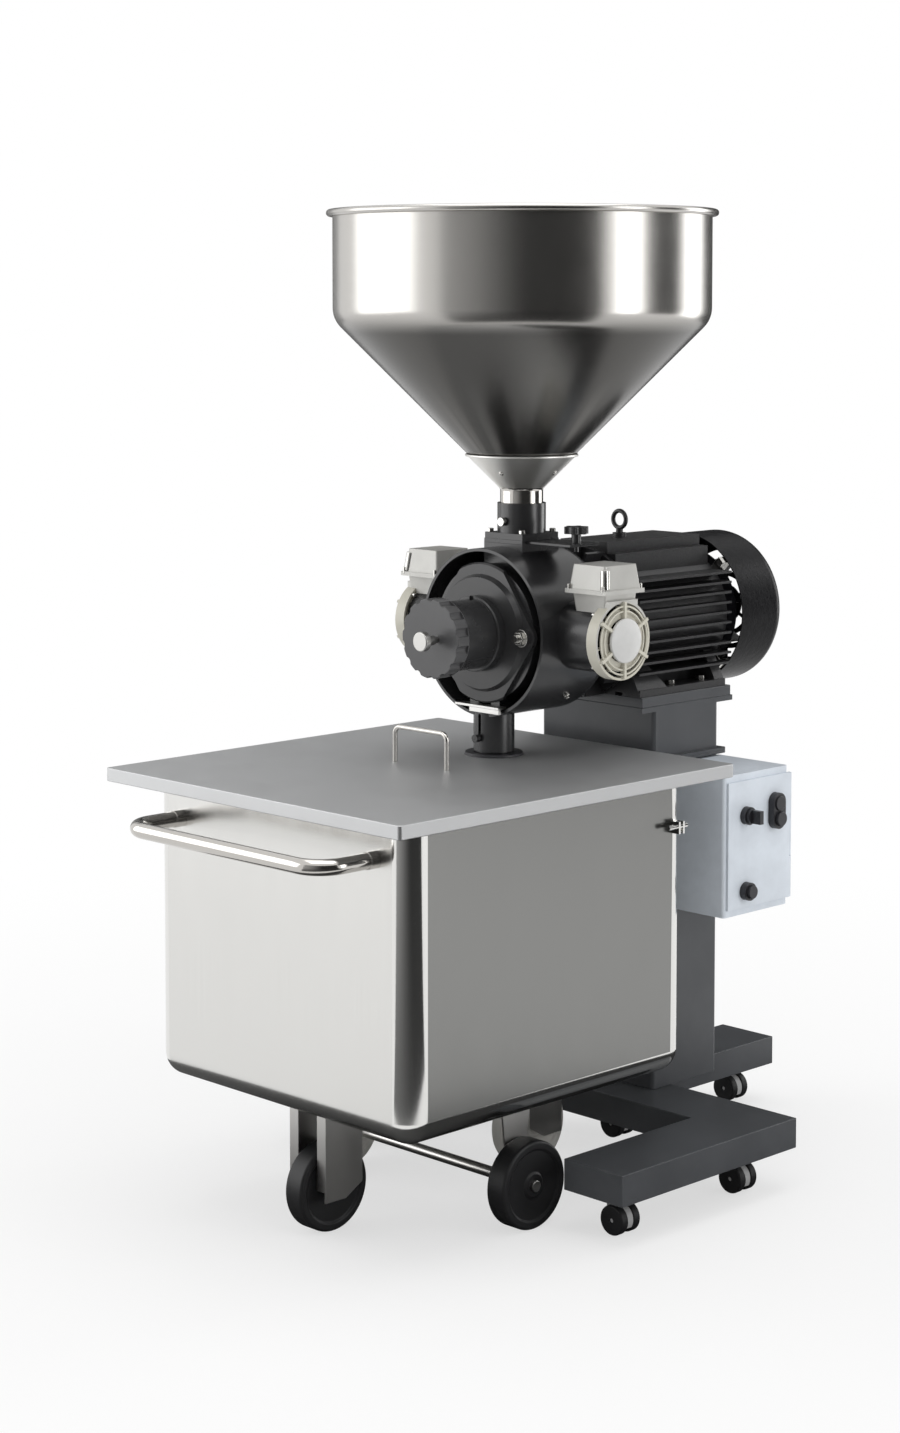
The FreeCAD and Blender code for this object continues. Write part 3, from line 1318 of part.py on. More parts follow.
def make_bin():
    """Receiving bin, its lid with the outlet ring, and both handles."""
    half = d.bin_half_width
    wall = d.bin_wall
    bin_height = d.lid_top - d.lid_sheet - d.bin_bottom
    body = padded("Z", (0, 0, d.bin_bottom), bin_height,
                  rectangle((-half, half), (d.bin_front, d.bin_rear), d.bin_round))
    hollow = padded("Z", (0, 0, d.bin_bottom + wall), bin_height,
                    rectangle((wall - half, half - wall), (d.bin_front + wall, d.bin_rear - wall),
                              d.bin_round - wall))
    low = d.bin_bottom.number
    body = rounded(body, d.bin_round - 2, lambda edge: edge.BoundBox.ZMax < low + 0.01)
    low_inside = low + wall.number
    hollow = rounded(hollow, d.bin_round - 2 - wall, lambda edge: edge.BoundBox.ZMax < low_inside + 0.01)
    catch_x = (half - d.tool_reach, half + d.catch_plate_reach)
    catch_z = (d.catch_level - d.catch_plate_below, d.catch_level + d.catch_plate_above)
    catch = [rod("Y", (half + d.catch_offset, d.bin_rear - d.catch_setback, d.catch_level), d.catch_radius,
                 d.catch_length)]
    for setback in (d.catch_plate_first, d.catch_plate_second):
        start = d.bin_rear - setback
        catch.append(box(catch_x, (start, start + d.catch_plate_sheet), catch_z))
    piece("bin_body", fuse(cut(body, hollow), *catch))

    top = d.lid_top
    outline = rectangle((-d.lid_half_width, d.lid_half_width), (d.lid_front, d.lid_rear), d.lid_round)
    inner = rectangle((d.lid_sheet - d.lid_half_width, d.lid_half_width - d.lid_sheet),
                      (d.lid_front + d.lid_sheet, d.lid_rear - d.lid_sheet), d.lid_round - d.lid_sheet)
    shell = cut(padded("Z", (0, 0, top - d.lid_skirt), d.lid_skirt, outline),
                padded("Z", (0, 0, top - d.lid_skirt - 1), d.lid_skirt + 1 - d.lid_sheet, inner))
    spout = d.spout_place
    ring = rod("Z", (0, spout, top), d.ring_radius, d.ring_height)
    hole = rod("Z", (0, spout, top - d.lid_skirt), d.lid_hole, d.lid_skirt * 2)
    piece("bin_lid", cut(fuse(shell, ring), hole))
    wide, y, wire = d.lid_handle_half_width, d.lid_handle_place, d.lid_handle_wire
    bar_level = top + d.lid_handle_height - wire
    bend = wire * 3
    piece("lid_handle", swept([(-wide, y, top), (-wide, y, bar_level), (wide, y, bar_level), (wide, y, top)],
                              [bend, bend], wire))
    wide, level = d.push_half_width, d.push_level
    bar = swept([(-wide, d.bin_front, level), (-wide, d.push_reach, level), (wide, d.push_reach, level),
                 (wide, d.bin_front, level)], [d.push_bend, d.push_bend], d.push_radius)
    ferrules = [rod("Y", (wide * side, d.bin_front - d.ferrule_length, level), d.push_radius + d.ferrule_wall,
                    d.ferrule_length) for side in (-1, 1)]
    piece("push_handle", fuse(bar, *ferrules))


def make_cart_wheels():
    """Fixed wheels on the through axle, and the two swivel casters."""
    y, level = d.axle_place, d.wheel_radius
    axle_end = d.wheel_outer + 5
    inner = d.wheel_outer - d.wheel_width
    gap = d.clear_gap
    bracket_x = inner - gap - 2 - d.bracket_thickness
    plates = []
    for side in (-1, 1):
        plates.append(padded("X", (bracket_x if side > 0 else -bracket_x - d.bracket_thickness, 0, 0),
                             d.bracket_thickness, [
            (y - d.bracket_half_width, d.bin_bottom),
            (y - 16, level - 14),
            (y + 16, level - 14),
            (y + d.bracket_half_width, d.bin_bottom)]))
        place(plates[-1], bracket_x if side > 0 else -bracket_x - d.bracket_thickness, 0, 0, OUTLINE_TURNS["X"])
    piece("axle", fuse(rod("X", (-axle_end, y, level), d.axle_radius, axle_end * 2), *plates))
    for name, side in (("right", 1), ("left", -1)):
        start = inner if side > 0 else -d.wheel_outer
        piece("wheel_" + name, cart_wheel(start, y))
    for name, y in (("front", d.caster_front), ("rear", d.caster_rear)):
        swivel_y = y + d.caster_trail if name == "front" else y - d.caster_trail
        facing = -1 if name == "front" else 1
        legs = []
        for side in (-1, 1):
            outer = d.fork_half_width * side
            face = (outer - d.fork_sheet * side, outer)
            legs.append(padded("X", (face[0] if side > 0 else face[1], 0, 0), d.fork_sheet, [
                (y - d.fork_length / 2, d.fork_bottom + 20 * (facing > 0)),
                (y - 4, d.fork_bottom),
                (y + 4, d.fork_bottom),
                (y + d.fork_length / 2, d.fork_bottom + 20 * (facing < 0)),
                (y + d.fork_length / 2, d.fork_top - d.fork_sheet),
                (y - d.fork_length / 2, d.fork_top - d.fork_sheet)]))
            place(legs[-1], face[0] if side > 0 else face[1], 0, 0, OUTLINE_TURNS["X"])
            flange_y = y + d.fork_length / 2 * facing
            legs.append(box((outer, outer - 20 * side), (flange_y, flange_y - d.fork_sheet * facing),
                            (level + 4, d.fork_top - d.fork_sheet)))
        crown = box((-d.fork_half_width, d.fork_half_width),
                    (y + d.fork_length / 2 * facing, swivel_y - 22 * facing),
                    (d.fork_top - d.fork_sheet, d.fork_top))
        spindle = rod("X", (-d.fork_half_width, y, level), 6, d.fork_half_width * 2)
        pivot = rod("Z", (0, swivel_y, d.fork_top), 20, d.bin_bottom - d.fork_top - gap)
        piece("fork_" + name, fuse(*legs, crown, spindle, pivot))
        piece("caster_wheel_" + name, cart_wheel(-d.wheel_width / 2, y, as_size(6)))


def cart_wheel(start, y, bore=None):
    """A solid-tyred wheel with a dished face."""
    radius, width = d.wheel_radius, d.wheel_width
    bore = (d.axle_radius if bore is None else bore) + d.running_gap
    hub = bore + 9
    return turned("X", (start, y, radius), [
        (bore, 0), (hub, 0), (hub + 4, 3), (radius - 16, 3), (radius - 12, 0), (radius, 0, 5),
        (radius, width, 5), (radius - 12, width), (radius - 16, width - 3), (hub + 4, width - 3),
        (hub, width), (bore, width)])


def make_bolts():
    """Bolts and nuts of the feet, the feed flange and the cover, and the cowl's four blocks, as one set."""
    bolts = []
    foot_top = d.foot_level + d.foot_thickness
    first = d.foot_front + d.foot_bolt_inset + d.web_base
    last = d.foot_rear - d.foot_bolt_inset - d.rear_web
    for side in (-1, 1):
        for y in (first, last):
            bolts.append(prism("Z", ((d.motor_half_width - d.foot_rail / 2) * side, y, foot_top),
                               d.foot_bolt_radius, d.foot_bolt_height))
    for x, z, angle in around(as_size(1), 4, 45):
        lug = box((-7, 7), (d.motor_rear + d.end_ring, d.cowl_front + d.end_ring),
                  (d.axis_level + 90, d.axis_level + d.cowl_radius - d.cowl_wall - d.clear_gap * 2))
        bolts.append(spun(lug, angle - 90))
    flange_top = d.flange_top
    offset = d.flange_bolt_offset
    for x, y in ((-1, -1), (1, -1), (1, 1), (-1, 1)):
        bolts.append(prism("Z", (offset * x, d.feed_place + offset * y, flange_top), d.flange_bolt_radius,
                           d.flange_bolt_height))
    for side in (-1, 1):
        x = d.cover_lug_offset * side
        seat = d.head_front - d.cover_dome
        bolts.append(fuse(
            rod("Y", (x, seat - 16, d.axis_level), d.stud_radius, 16 + d.cover_dome + d.cover_thickness),
            prism("Y", (x, seat - 10, d.axis_level), as_size(11), as_size(10))))
    piece("bolts", group(*bolts))


def check(thing):
    """Stop on a failed or empty object."""
    bad = [word for word in thing.State if word in ("Invalid", "Error")]
    if bad:
        raise RuntimeError("%s (%s) is %s" % (thing.Label, thing.Name, bad))
    if hasattr(thing, "Shape") and thing in pieces:
        if thing.Shape.isNull() or not thing.Shape.isValid():
            raise RuntimeError("%s has no valid shape" % thing.Label)


make_stand()
make_twin_casters()
make_motor()
make_drive()
make_head()
make_outlet()
make_feed()
make_hopper()
make_side_fans()
make_control_box()
make_bin()
make_cart_wheels()
make_bolts()
doc.recompute()
for thing in doc.Objects:
    check(thing)
os.makedirs("parts", exist_ok=True)
for thing in pieces:
    thing.Shape.exportStep(os.path.join("parts", thing.Label + ".step"))
    print("%-28s solids %d  volume %.0f" % (thing.Label, len(thing.Shape.Solids), thing.Shape.Volume))
print(len(pieces), "pieces")
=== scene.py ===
"""Looks for the industrial coffee grinder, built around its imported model.

Round parts are turned again with finer meshes, sheet and cast parts get softened edges, and
every finish is a node material on Object coordinates. Sizes are in millimetres, measured from
the drawing's own origin; Maker.place moves them to the model's frame, in metres.
"""

from __future__ import annotations

import json
import logging
import math
from dataclasses import dataclass
from enum import Enum
from typing import Callable, ClassVar, Sequence

import bmesh
import bpy
from mathutils import Matrix, Vector

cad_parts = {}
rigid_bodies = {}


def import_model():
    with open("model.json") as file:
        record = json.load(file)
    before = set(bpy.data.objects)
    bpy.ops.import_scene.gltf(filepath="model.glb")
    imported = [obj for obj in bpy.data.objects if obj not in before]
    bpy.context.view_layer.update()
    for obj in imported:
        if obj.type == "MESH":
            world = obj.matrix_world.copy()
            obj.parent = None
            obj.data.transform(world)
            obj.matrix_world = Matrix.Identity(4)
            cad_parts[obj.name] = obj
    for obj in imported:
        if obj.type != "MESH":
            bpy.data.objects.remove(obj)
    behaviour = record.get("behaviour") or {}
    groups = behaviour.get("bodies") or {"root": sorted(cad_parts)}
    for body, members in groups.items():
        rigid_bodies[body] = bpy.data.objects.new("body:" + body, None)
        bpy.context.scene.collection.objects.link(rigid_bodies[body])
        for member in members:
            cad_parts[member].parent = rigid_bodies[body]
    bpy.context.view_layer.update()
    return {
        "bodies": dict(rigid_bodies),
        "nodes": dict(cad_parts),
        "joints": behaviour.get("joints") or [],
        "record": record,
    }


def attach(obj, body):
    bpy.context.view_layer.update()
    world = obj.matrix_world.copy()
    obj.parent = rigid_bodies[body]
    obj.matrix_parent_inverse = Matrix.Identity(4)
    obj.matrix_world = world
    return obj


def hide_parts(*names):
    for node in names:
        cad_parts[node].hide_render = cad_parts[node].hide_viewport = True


log = logging.getLogger("grinder")
logging.basicConfig(level=logging.INFO, format="%(name)s: %(message)s")

MM = 0.001
MERGE = 2e-6
PACKED_MERGE = 1e-5
FLAT_ANGLE = 0.6
SHARP_ANGLE = 35.0
EDGE_ANGLE = 32.0
BEAD_STEPS = 20
DATUM_Y = -57.25
Point = tuple[float, float, float]
Profile = Sequence[tuple[float, ...]]


class Axis(Enum):
    """The direction a turned part's axis runs in."""

    X = 0
    Y = 1
    Z = 2


class Field:
    """A value over a surface: one socket of a material, with arithmetic."""

    def __init__(self, sheet: NodeSheet, socket: bpy.types.NodeSocket) -> None:
        """Wrap a socket of a node sheet."""
        self.sheet = sheet
        self.socket = socket

    def maths(self, operation: str, *others: Field | float) -> Field:
        """Feed this value and others to a Math node.

        Args:
            operation: the Math node's operation.
            others: the node's further values.

        Returns:
            The node's result.
        """
        values = dict(enumerate((self, *others)))
        return self.sheet.node("ShaderNodeMath", {"operation": operation}, values)

    def __add__(self, other: Field | float) -> Field:
        """Add."""
        return self.maths("ADD", other)

    __radd__ = __add__

    def __sub__(self, other: Field | float) -> Field:
        """Subtract."""
        return self.maths("SUBTRACT", other)

    def __rsub__(self, other: float) -> Field:
        """Subtract from a number."""
        return self.maths("MULTIPLY", -1.0).maths("ADD", other)

    def __mul__(self, other: Field | float) -> Field:
        """Multiply."""
        return self.maths("MULTIPLY", other)

    __rmul__ = __mul__

    def __pow__(self, other: float) -> Field:
        """Raise to a power."""
        return self.maths("POWER", other)

    def between(self, low: float, high: float) -> Field:
        """Fade from 0 at low to 1 at high, smoothly."""
        settings = {"interpolation_type": "SMOOTHSTEP"}
        limits = {"Value": self, "From Min": low, "From Max": high}
        return self.sheet.node("ShaderNodeMapRange", settings, limits)


class NodeSheet:
    """A node tree that is written as Python expressions."""

    def __init__(self, owner: bpy.types.Material | bpy.types.World) -> None:
        """Start on the empty tree of a material or world."""
        owner.use_nodes = True
        self.tree = owner.node_tree
        self.tree.nodes.clear()

    def node(self, kind: str, settings: dict | None = None, inputs: dict | None = None,
             out: int | str = 0) -> Field:
        """Make one node.

        Args:
            kind: the node's type.
            settings: its properties.
            inputs: socket name or number to a Field, number or colour.
            out: the output that is wanted.
        """
        made = self.tree.nodes.new(kind)
        for name, value in (settings or {}).items():
            setattr(made, name, value)
        for key, value in (inputs or {}).items():
            if isinstance(value, Field):
                self.tree.links.new(value.socket, made.inputs[key])
            else:
                made.inputs[key].default_value = value
        return Field(self, made.outputs[out])

    def finish(self, kind: str, shader: Field) -> None:
        """End the tree with an output node of a kind."""
        output = self.tree.nodes.new(kind)
        self.tree.links.new(shader.socket, output.inputs["Surface"])

    def mix(self, factor: Field | float, first: Field | tuple, second: Field | tuple) -> Field:
        """Blend two colours by a factor."""
        return self.node("ShaderNodeMix", {"data_type": "RGBA"}, {0: factor, 6: first, 7: second}, out=2)

    def vector(self, operation: str, *values: Field | Point, out: int | str = 0) -> Field:
        """Feed vectors to a Vector Math node."""
        return self.node("ShaderNodeVectorMath", {"operation": operation}, dict(enumerate(values)), out)

    def place(self) -> Field:
        """Object coordinates, in metres."""
        return self.node("ShaderNodeTexCoord", out="Object")

    def cloud(self, spot: Field, scale: float, detail: float, rough: float) -> Field:
        """Noise over a vector, from 0 to 1."""
        inputs = {"Vector": spot, "Scale": scale, "Detail": detail, "Roughness": rough}
        return self.node("ShaderNodeTexNoise", {"noise_dimensions": "3D"}, inputs)

    def noise(self, stretch: Point, detail: float = 3.0, rough: float = 0.5) -> Field:
        """Noise over Object coordinates multiplied along each axis."""
        return self.cloud(self.vector("MULTIPLY", self.place(), stretch), 1.0, detail, rough)

    def bump(self, height: Field, strength: float, depth: float) -> Field:
        """A normal from a height."""
        inputs = {"Height": height, "Strength": strength, "Distance": depth}
        return self.node("ShaderNodeBump", None, inputs)


@dataclass(frozen=True)
class Finish:
    """Common ground of every finish: its name and its plain colour."""

    name: str
    tone: Point
    shine: float = 0.5

    def shade(self, factor: float = 1.0, lift: float = 0.0) -> tuple[float, ...]:
        """The finish's colour, darker or lighter, with full cover."""
        return (*(min(1.0, part * factor + lift) for part in self.tone), 1.0)

    def surface(self, sheet: NodeSheet) -> dict:
        """The sockets of the surface shader. Each finish writes its own."""
        return {"Base Color": self.shade()}

    def material(self) -> bpy.types.Material:
        """Build the finish as a material, once."""
        known = bpy.data.materials.get(self.name)
        if known:
            return known
        made = bpy.data.materials.new(self.name)
        made.diffuse_color = self.shade()
        sheet = NodeSheet(made)
        sockets = {"Specular IOR Level": self.shine, **self.surface(sheet)}
        shader = sheet.node("ShaderNodeBsdfPrincipled", None, sockets)
        sheet.finish("ShaderNodeOutputMaterial", shader)
        return made


class Grain(Enum):
    """How the grain of a brushed surface runs, as the stretch of its noise along X, Y and Z."""

    ROUND = (5.0, 5.0, 700.0)
    ALONG_X = (4.0, 620.0, 620.0)
    ALONG_Z = (420.0, 420.0, 4.0)
    NONE = (60.0, 60.0, 60.0)


@dataclass(frozen=True)
class Steel(Finish):
    """Stainless sheet or rod, brushed or polished."""

    grain: Grain = Grain.ROUND
    roughness: float = 0.25
    depth: float = 0.25
    drift_size: Point = (3.0, 3.0, 2.0)
    smear_size: Point = (22.0, 22.0, 9.0)
    darkest: float = 0.92
    line_share: float = 0.55
    line_rough: float = 0.4
    smear_rough: float = 0.08
    mean_rough: float = 0.09
    smear_height: float = 0.2
    relief: float = 0.00012

    def surface(self, sheet: NodeSheet) -> dict:
        """Fine grain lines over a slow drift of tone, as on rolled sheet."""
        lines = sheet.noise(self.grain.value, detail=2.0)
        drift = sheet.noise(self.drift_size, detail=4.0)
        smear = sheet.noise(self.smear_size, detail=5.0, rough=0.6)
        share = lines * self.line_share + drift * (1.0 - self.line_share)
        height = lines * (1.0 - self.smear_height) + smear * self.smear_height
        grain = lines * (self.line_rough * self.depth) + smear * self.smear_rough
        return {
            "Base Color": sheet.mix(share, self.shade(self.darkest), self.shade()),
            "Metallic": 1.0,
            "Roughness": grain + (self.roughness - self.mean_rough),
            "Normal": sheet.bump(height, self.depth, self.relief),
        }


@dataclass(frozen=True)
class Spun(Steel):
    """Spun sheet: its own colour on the drum; painted shade on the cone, lightened by painted highlight
    streaking and two narrow painted highlight bands that run down it.
    """

    knee_low: float = 1.405
    knee_high: float = 1.440
    centre_y: float = 0.03285
    # Painted highlight: the direction that the cone's two narrow painted highlight bands face, and its
    # opposite.
    painted_band: tuple[float, float] = (0.80, -0.60)
    # Painted shade on the cone: the share of the sheet's colour where it is darkest and where the painted
    # highlights are brightest.
    cone_painted_shade: float = 0.19
    cone_painted_light: float = 0.50
    streak_count: float = 3.1
    streak_range: tuple[float, float] = (0.42, 0.66)
    streak_share: float = 0.6
    streak_fade: tuple[float, float] = (1.17, 1.36)
    band_fade: tuple[float, float] = (1.30, 1.43)
    band_loss: float = 0.6
    band_focus: float = 34.0

    def surface(self, sheet: NodeSheet) -> dict:
        """The brushed sheet's sockets, with painted shade and painted highlights on the cone."""
        sockets = super().surface(sheet)
        place = sheet.place()
        across = sheet.vector("SUBTRACT", place, (0.0, self.centre_y, 0.0))
        flat = sheet.vector("MULTIPLY", across, (1.0, 1.0, 0.0))
        round_about = sheet.vector("NORMALIZE", flat)
        # Painted highlight streaking round the cone, on its lower part only.
        painted_streaks = sheet.cloud(round_about, self.streak_count, 3.0, 0.55).between(*self.streak_range)
        height = sheet.node("ShaderNodeSeparateXYZ", None, {0: place}, out="Z")
        low_cone = 1.0 - height.between(*self.streak_fade)
        # Painted highlight bands: narrow, facing one direction and its opposite, weaker up the cone.
        facing = sheet.vector("DOT_PRODUCT", round_about, (*self.painted_band, 0.0), out="Value")
        fade = 1.0 - height.between(*self.band_fade) * self.band_loss
        painted_band = facing.maths("ABSOLUTE") ** self.band_focus * fade
        painted_highlights = (painted_streaks * low_cone * self.streak_share).maths("MAXIMUM", painted_band)
        # Painted shade on the cone, lightened by the painted highlights; above the knee the drum keeps the
        # sheet's own colour.
        shade = painted_highlights * (self.cone_painted_light - self.cone_painted_shade) + self.cone_painted_shade
        drum = height.between(self.knee_low, self.knee_high)
        factor = drum + shade * (1.0 - drum)
        black = (0.0, 0.0, 0.0, 1.0)
        sockets["Base Color"] = sheet.mix(factor, black, sockets["Base Color"])
        return sockets


@dataclass(frozen=True)
class Coat(Finish):
    """Powder coat or enamel: a fine orange peel and slight patches in its gloss."""

    roughness: float = 0.4
    peel: float = 0.25
    peel_size: float = 900.0
    metallic: float = 0.0
    patch_size: Point = (9.0, 9.0, 9.0)
    patch_rough: float = 0.08
    patch_range: tuple[float, float] = (0.25, 0.8)
    lightest: tuple[float, float] = (1.22, 0.003)
    relief: float = 0.0001

    def surface(self, sheet: NodeSheet) -> dict:
        """Orange peel, a slow drift of tone and dust in the matt patches."""
        peel = sheet.noise((self.peel_size,) * 3, detail=2.0)
        drift = sheet.noise(self.patch_size, detail=5.0, rough=0.62)
        share = drift.between(*self.patch_range)
        return {
            "Base Color": sheet.mix(share, self.shade(), self.shade(*self.lightest)),
            "Metallic": self.metallic,
            "Roughness": drift * self.patch_rough + (self.roughness - self.patch_rough / 2),
            "Normal": sheet.bump(peel, self.peel, self.relief),
        }


@dataclass(frozen=True)
class Casting(Coat):
    """Painted casting: grains of two sizes under the paint."""

    coarse_size: float = 0.3
    coarse_share: float = 0.6
    grain_rough: float = 0.14
    grain_range: tuple[float, float] = (0.3, 0.7)
    pit: float = 0.7
    crest: tuple[float, float] = (1.3, 0.004)
    grain_relief: float = 0.0006

    def surface(self, sheet: NodeSheet) -> dict:
        """Coarse and fine grains, darker in the pits."""
        coarse = sheet.noise((self.peel_size * self.coarse_size,) * 3, detail=4.0, rough=0.6)
        fine = sheet.noise((self.peel_size,) * 3, detail=3.0)
        grain = coarse * self.coarse_share + fine * (1.0 - self.coarse_share)
        share = grain.between(*self.grain_range)
        return {
            "Base Color": sheet.mix(share, self.shade(self.pit), self.shade(*self.crest)),
            "Metallic": self.metallic,
            "Roughness": fine * self.grain_rough + (self.roughness - self.grain_rough / 2),
            "Normal": sheet.bump(grain, self.peel, self.grain_relief),
        }


@dataclass(frozen=True)
class Moulded(Finish):
    """Moulded plastic or rubber with a fine spark texture."""

    roughness: float = 0.45
    texture: float = 0.12
    spark_size: Point = (1500.0, 1500.0, 1500.0)
    flow_size: Point = (14.0, 14.0, 26.0)
    flow_rough: float = 0.12
    spark_rough: float = 0.06
    lightest: tuple[float, float] = (1.14, 0.004)
    relief: float = 0.00015

    def surface(self, sheet: NodeSheet) -> dict:
        """Spark texture and faint flow marks."""
        spark = sheet.noise(self.spark_size, detail=2.0)
        flow = sheet.noise(self.flow_size, detail=4.0)
        mean = (self.flow_rough + self.spark_rough) / 2
        rough = flow * self.flow_rough + spark * self.spark_rough + (self.roughness - mean)
        return {
            "Base Color": sheet.mix(flow, self.shade(), self.shade(*self.lightest)),
            "Roughness": rough,
            "Normal": sheet.bump(spark, self.texture, self.relief),
        }


class Finishes:
    """Every finish on the machine."""

    # The hopper's sheet, with painted shade and painted highlights on its cone.
    DRUM = Spun("steel_hopper", (0.54, 0.525, 0.50), 0.5, Grain.ROUND, 0.27, 0.07)
    CONE = Steel("steel_collar", (0.82, 0.81, 0.78), 0.5, Grain.ROUND, 0.42, 0.10)
    SHEET = Steel("steel_bin", (0.74, 0.735, 0.715), 0.5, Grain.ALONG_Z, 0.26, 0.10)
    # Painted shade: the bin's side sheets, the same steel as its front painted darker.
    PAINTED_SHADE_FLANK = Steel("steel_bin_flank_painted_shade", (0.27, 0.27, 0.262), 0.5, Grain.ALONG_Z, 0.26, 0.10)
    # Painted highlight: the bin's rounded upright corners, the same steel painted lighter.
    PAINTED_HIGHLIGHT_CORNER = Steel("steel_bin_corner_painted_highlight", (0.80, 0.795, 0.775), 0.5, Grain.ALONG_Z, 0.15, 0.05)
    LID = Steel("steel_lid", (0.54, 0.545, 0.55), 0.5, Grain.ALONG_X, 0.50, 0.20)
    POLISHED = Steel("steel_polished", (0.58, 0.56, 0.53), 0.5, Grain.NONE, 0.16, 0.05)
    FOLDED = Steel("steel_folded", (0.66, 0.65, 0.63), 0.5, Grain.NONE, 0.36, 0.06)
    TURNED = Steel("steel_turned", (0.62, 0.61, 0.58), 0.5, Grain.NONE, 0.22, 0.10)
    COAT = Coat("black_powder_coat", (0.018, 0.018, 0.019), 0.62, 0.25, 0.05, 1400.0)
    CAST = Casting("black_casting", (0.017, 0.017, 0.018), 0.44, 0.34, 0.30, 900.0)
    ROUGH = Casting("black_wrinkle_casting", (0.004, 0.004, 0.005), 0.10, 0.30, 1.0, 330.0)
    COVER = Coat("black_cover", (0.030, 0.030, 0.031), 0.50, 0.27, 0.05, 1500.0)
    WHEEL = Coat("hand_wheel_coat", (0.070, 0.070, 0.072), 0.46, 0.34, 0.05, 1500.0)
    FACED = Steel("steel_faced_knob", (0.46, 0.455, 0.44), 0.5, Grain.NONE, 0.36, 0.10)
    FRAME = Coat("grey_frame_paint", (0.060, 0.063, 0.068), 0.40, 0.30, 0.08, 1300.0)
    BOX = Coat("light_box_paint", (0.60, 0.645, 0.70), 0.5, 0.42, 0.08, 1300.0)
    ALLOY = Coat("fan_alloy", (0.50, 0.495, 0.47), 0.5, 0.34, 0.10, 1000.0, 0.2)
    DISC = Coat("fan_disc_paint", (0.56, 0.56, 0.55), 0.5, 0.40, 0.08, 1000.0)
    RING = Moulded("fan_ring_plastic", (0.58, 0.56, 0.48), 0.5, 0.30, 0.05)
    PLASTIC = Moulded("black_plastic", (0.010, 0.010, 0.011), 0.40, 0.34, 0.10)
    RUBBER = Moulded("black_rubber", (0.012, 0.012, 0.013), 0.36, 0.46, 0.16)
    # Painted reflection: black rubber painted pale, for the far wheels.
    PAINTED_REFLECTION_RUBBER = Moulded("pale_tyre_painted_reflection", (0.50, 0.49, 0.46), 0.5, 0.45, 0.10)
    HUB_GREY = Moulded("grey_hub_plastic", (0.36, 0.36, 0.36), 0.5, 0.42, 0.08)
    BURR = Steel("ground_burr_steel", (0.40, 0.40, 0.40), 0.5, Grain.NONE, 0.34, 0.25)


def arc_points(profile: Profile, steps: int = 6) -> list[tuple[float, float]]:
    """Round the corners of a closed profile that carry a radius.

    Args:
        profile: corners as (radius, height) or (radius, height, rounding).
        steps: pieces of each arc.
    """
    spots = [Vector(corner[:2]) for corner in profile]
    points = []
    for index, corner in enumerate(profile):
        spot = spots[index]
        if len(corner) < 3 or not corner[2]:
            points.append(tuple(spot))
            continue
        back = (spots[index - 1] - spot).normalized()
        ahead = (spots[(index + 1) % len(spots)] - spot).normalized()
        half = back.angle(ahead) / 2
        centre = spot + (back + ahead).normalized() * (corner[2] / math.sin(half))
        first = spot + back * (corner[2] / math.tan(half)) - centre
        sweep = first.angle_signed(spot + ahead * (corner[2] / math.tan(half)) - centre)
        for step in range(steps + 1):
            turn = Matrix.Rotation(-sweep * step / steps, 2)
            points.append(tuple(centre + turn @ first))
    return points


def circle(radius: float, steps: int) -> list[tuple[float, float]]:
    """Points round a circle, from the first axis towards the second."""
    angles = [2 * math.pi * step / steps for step in range(steps)]
    return [(radius * math.cos(angle), radius * math.sin(angle)) for angle in angles]


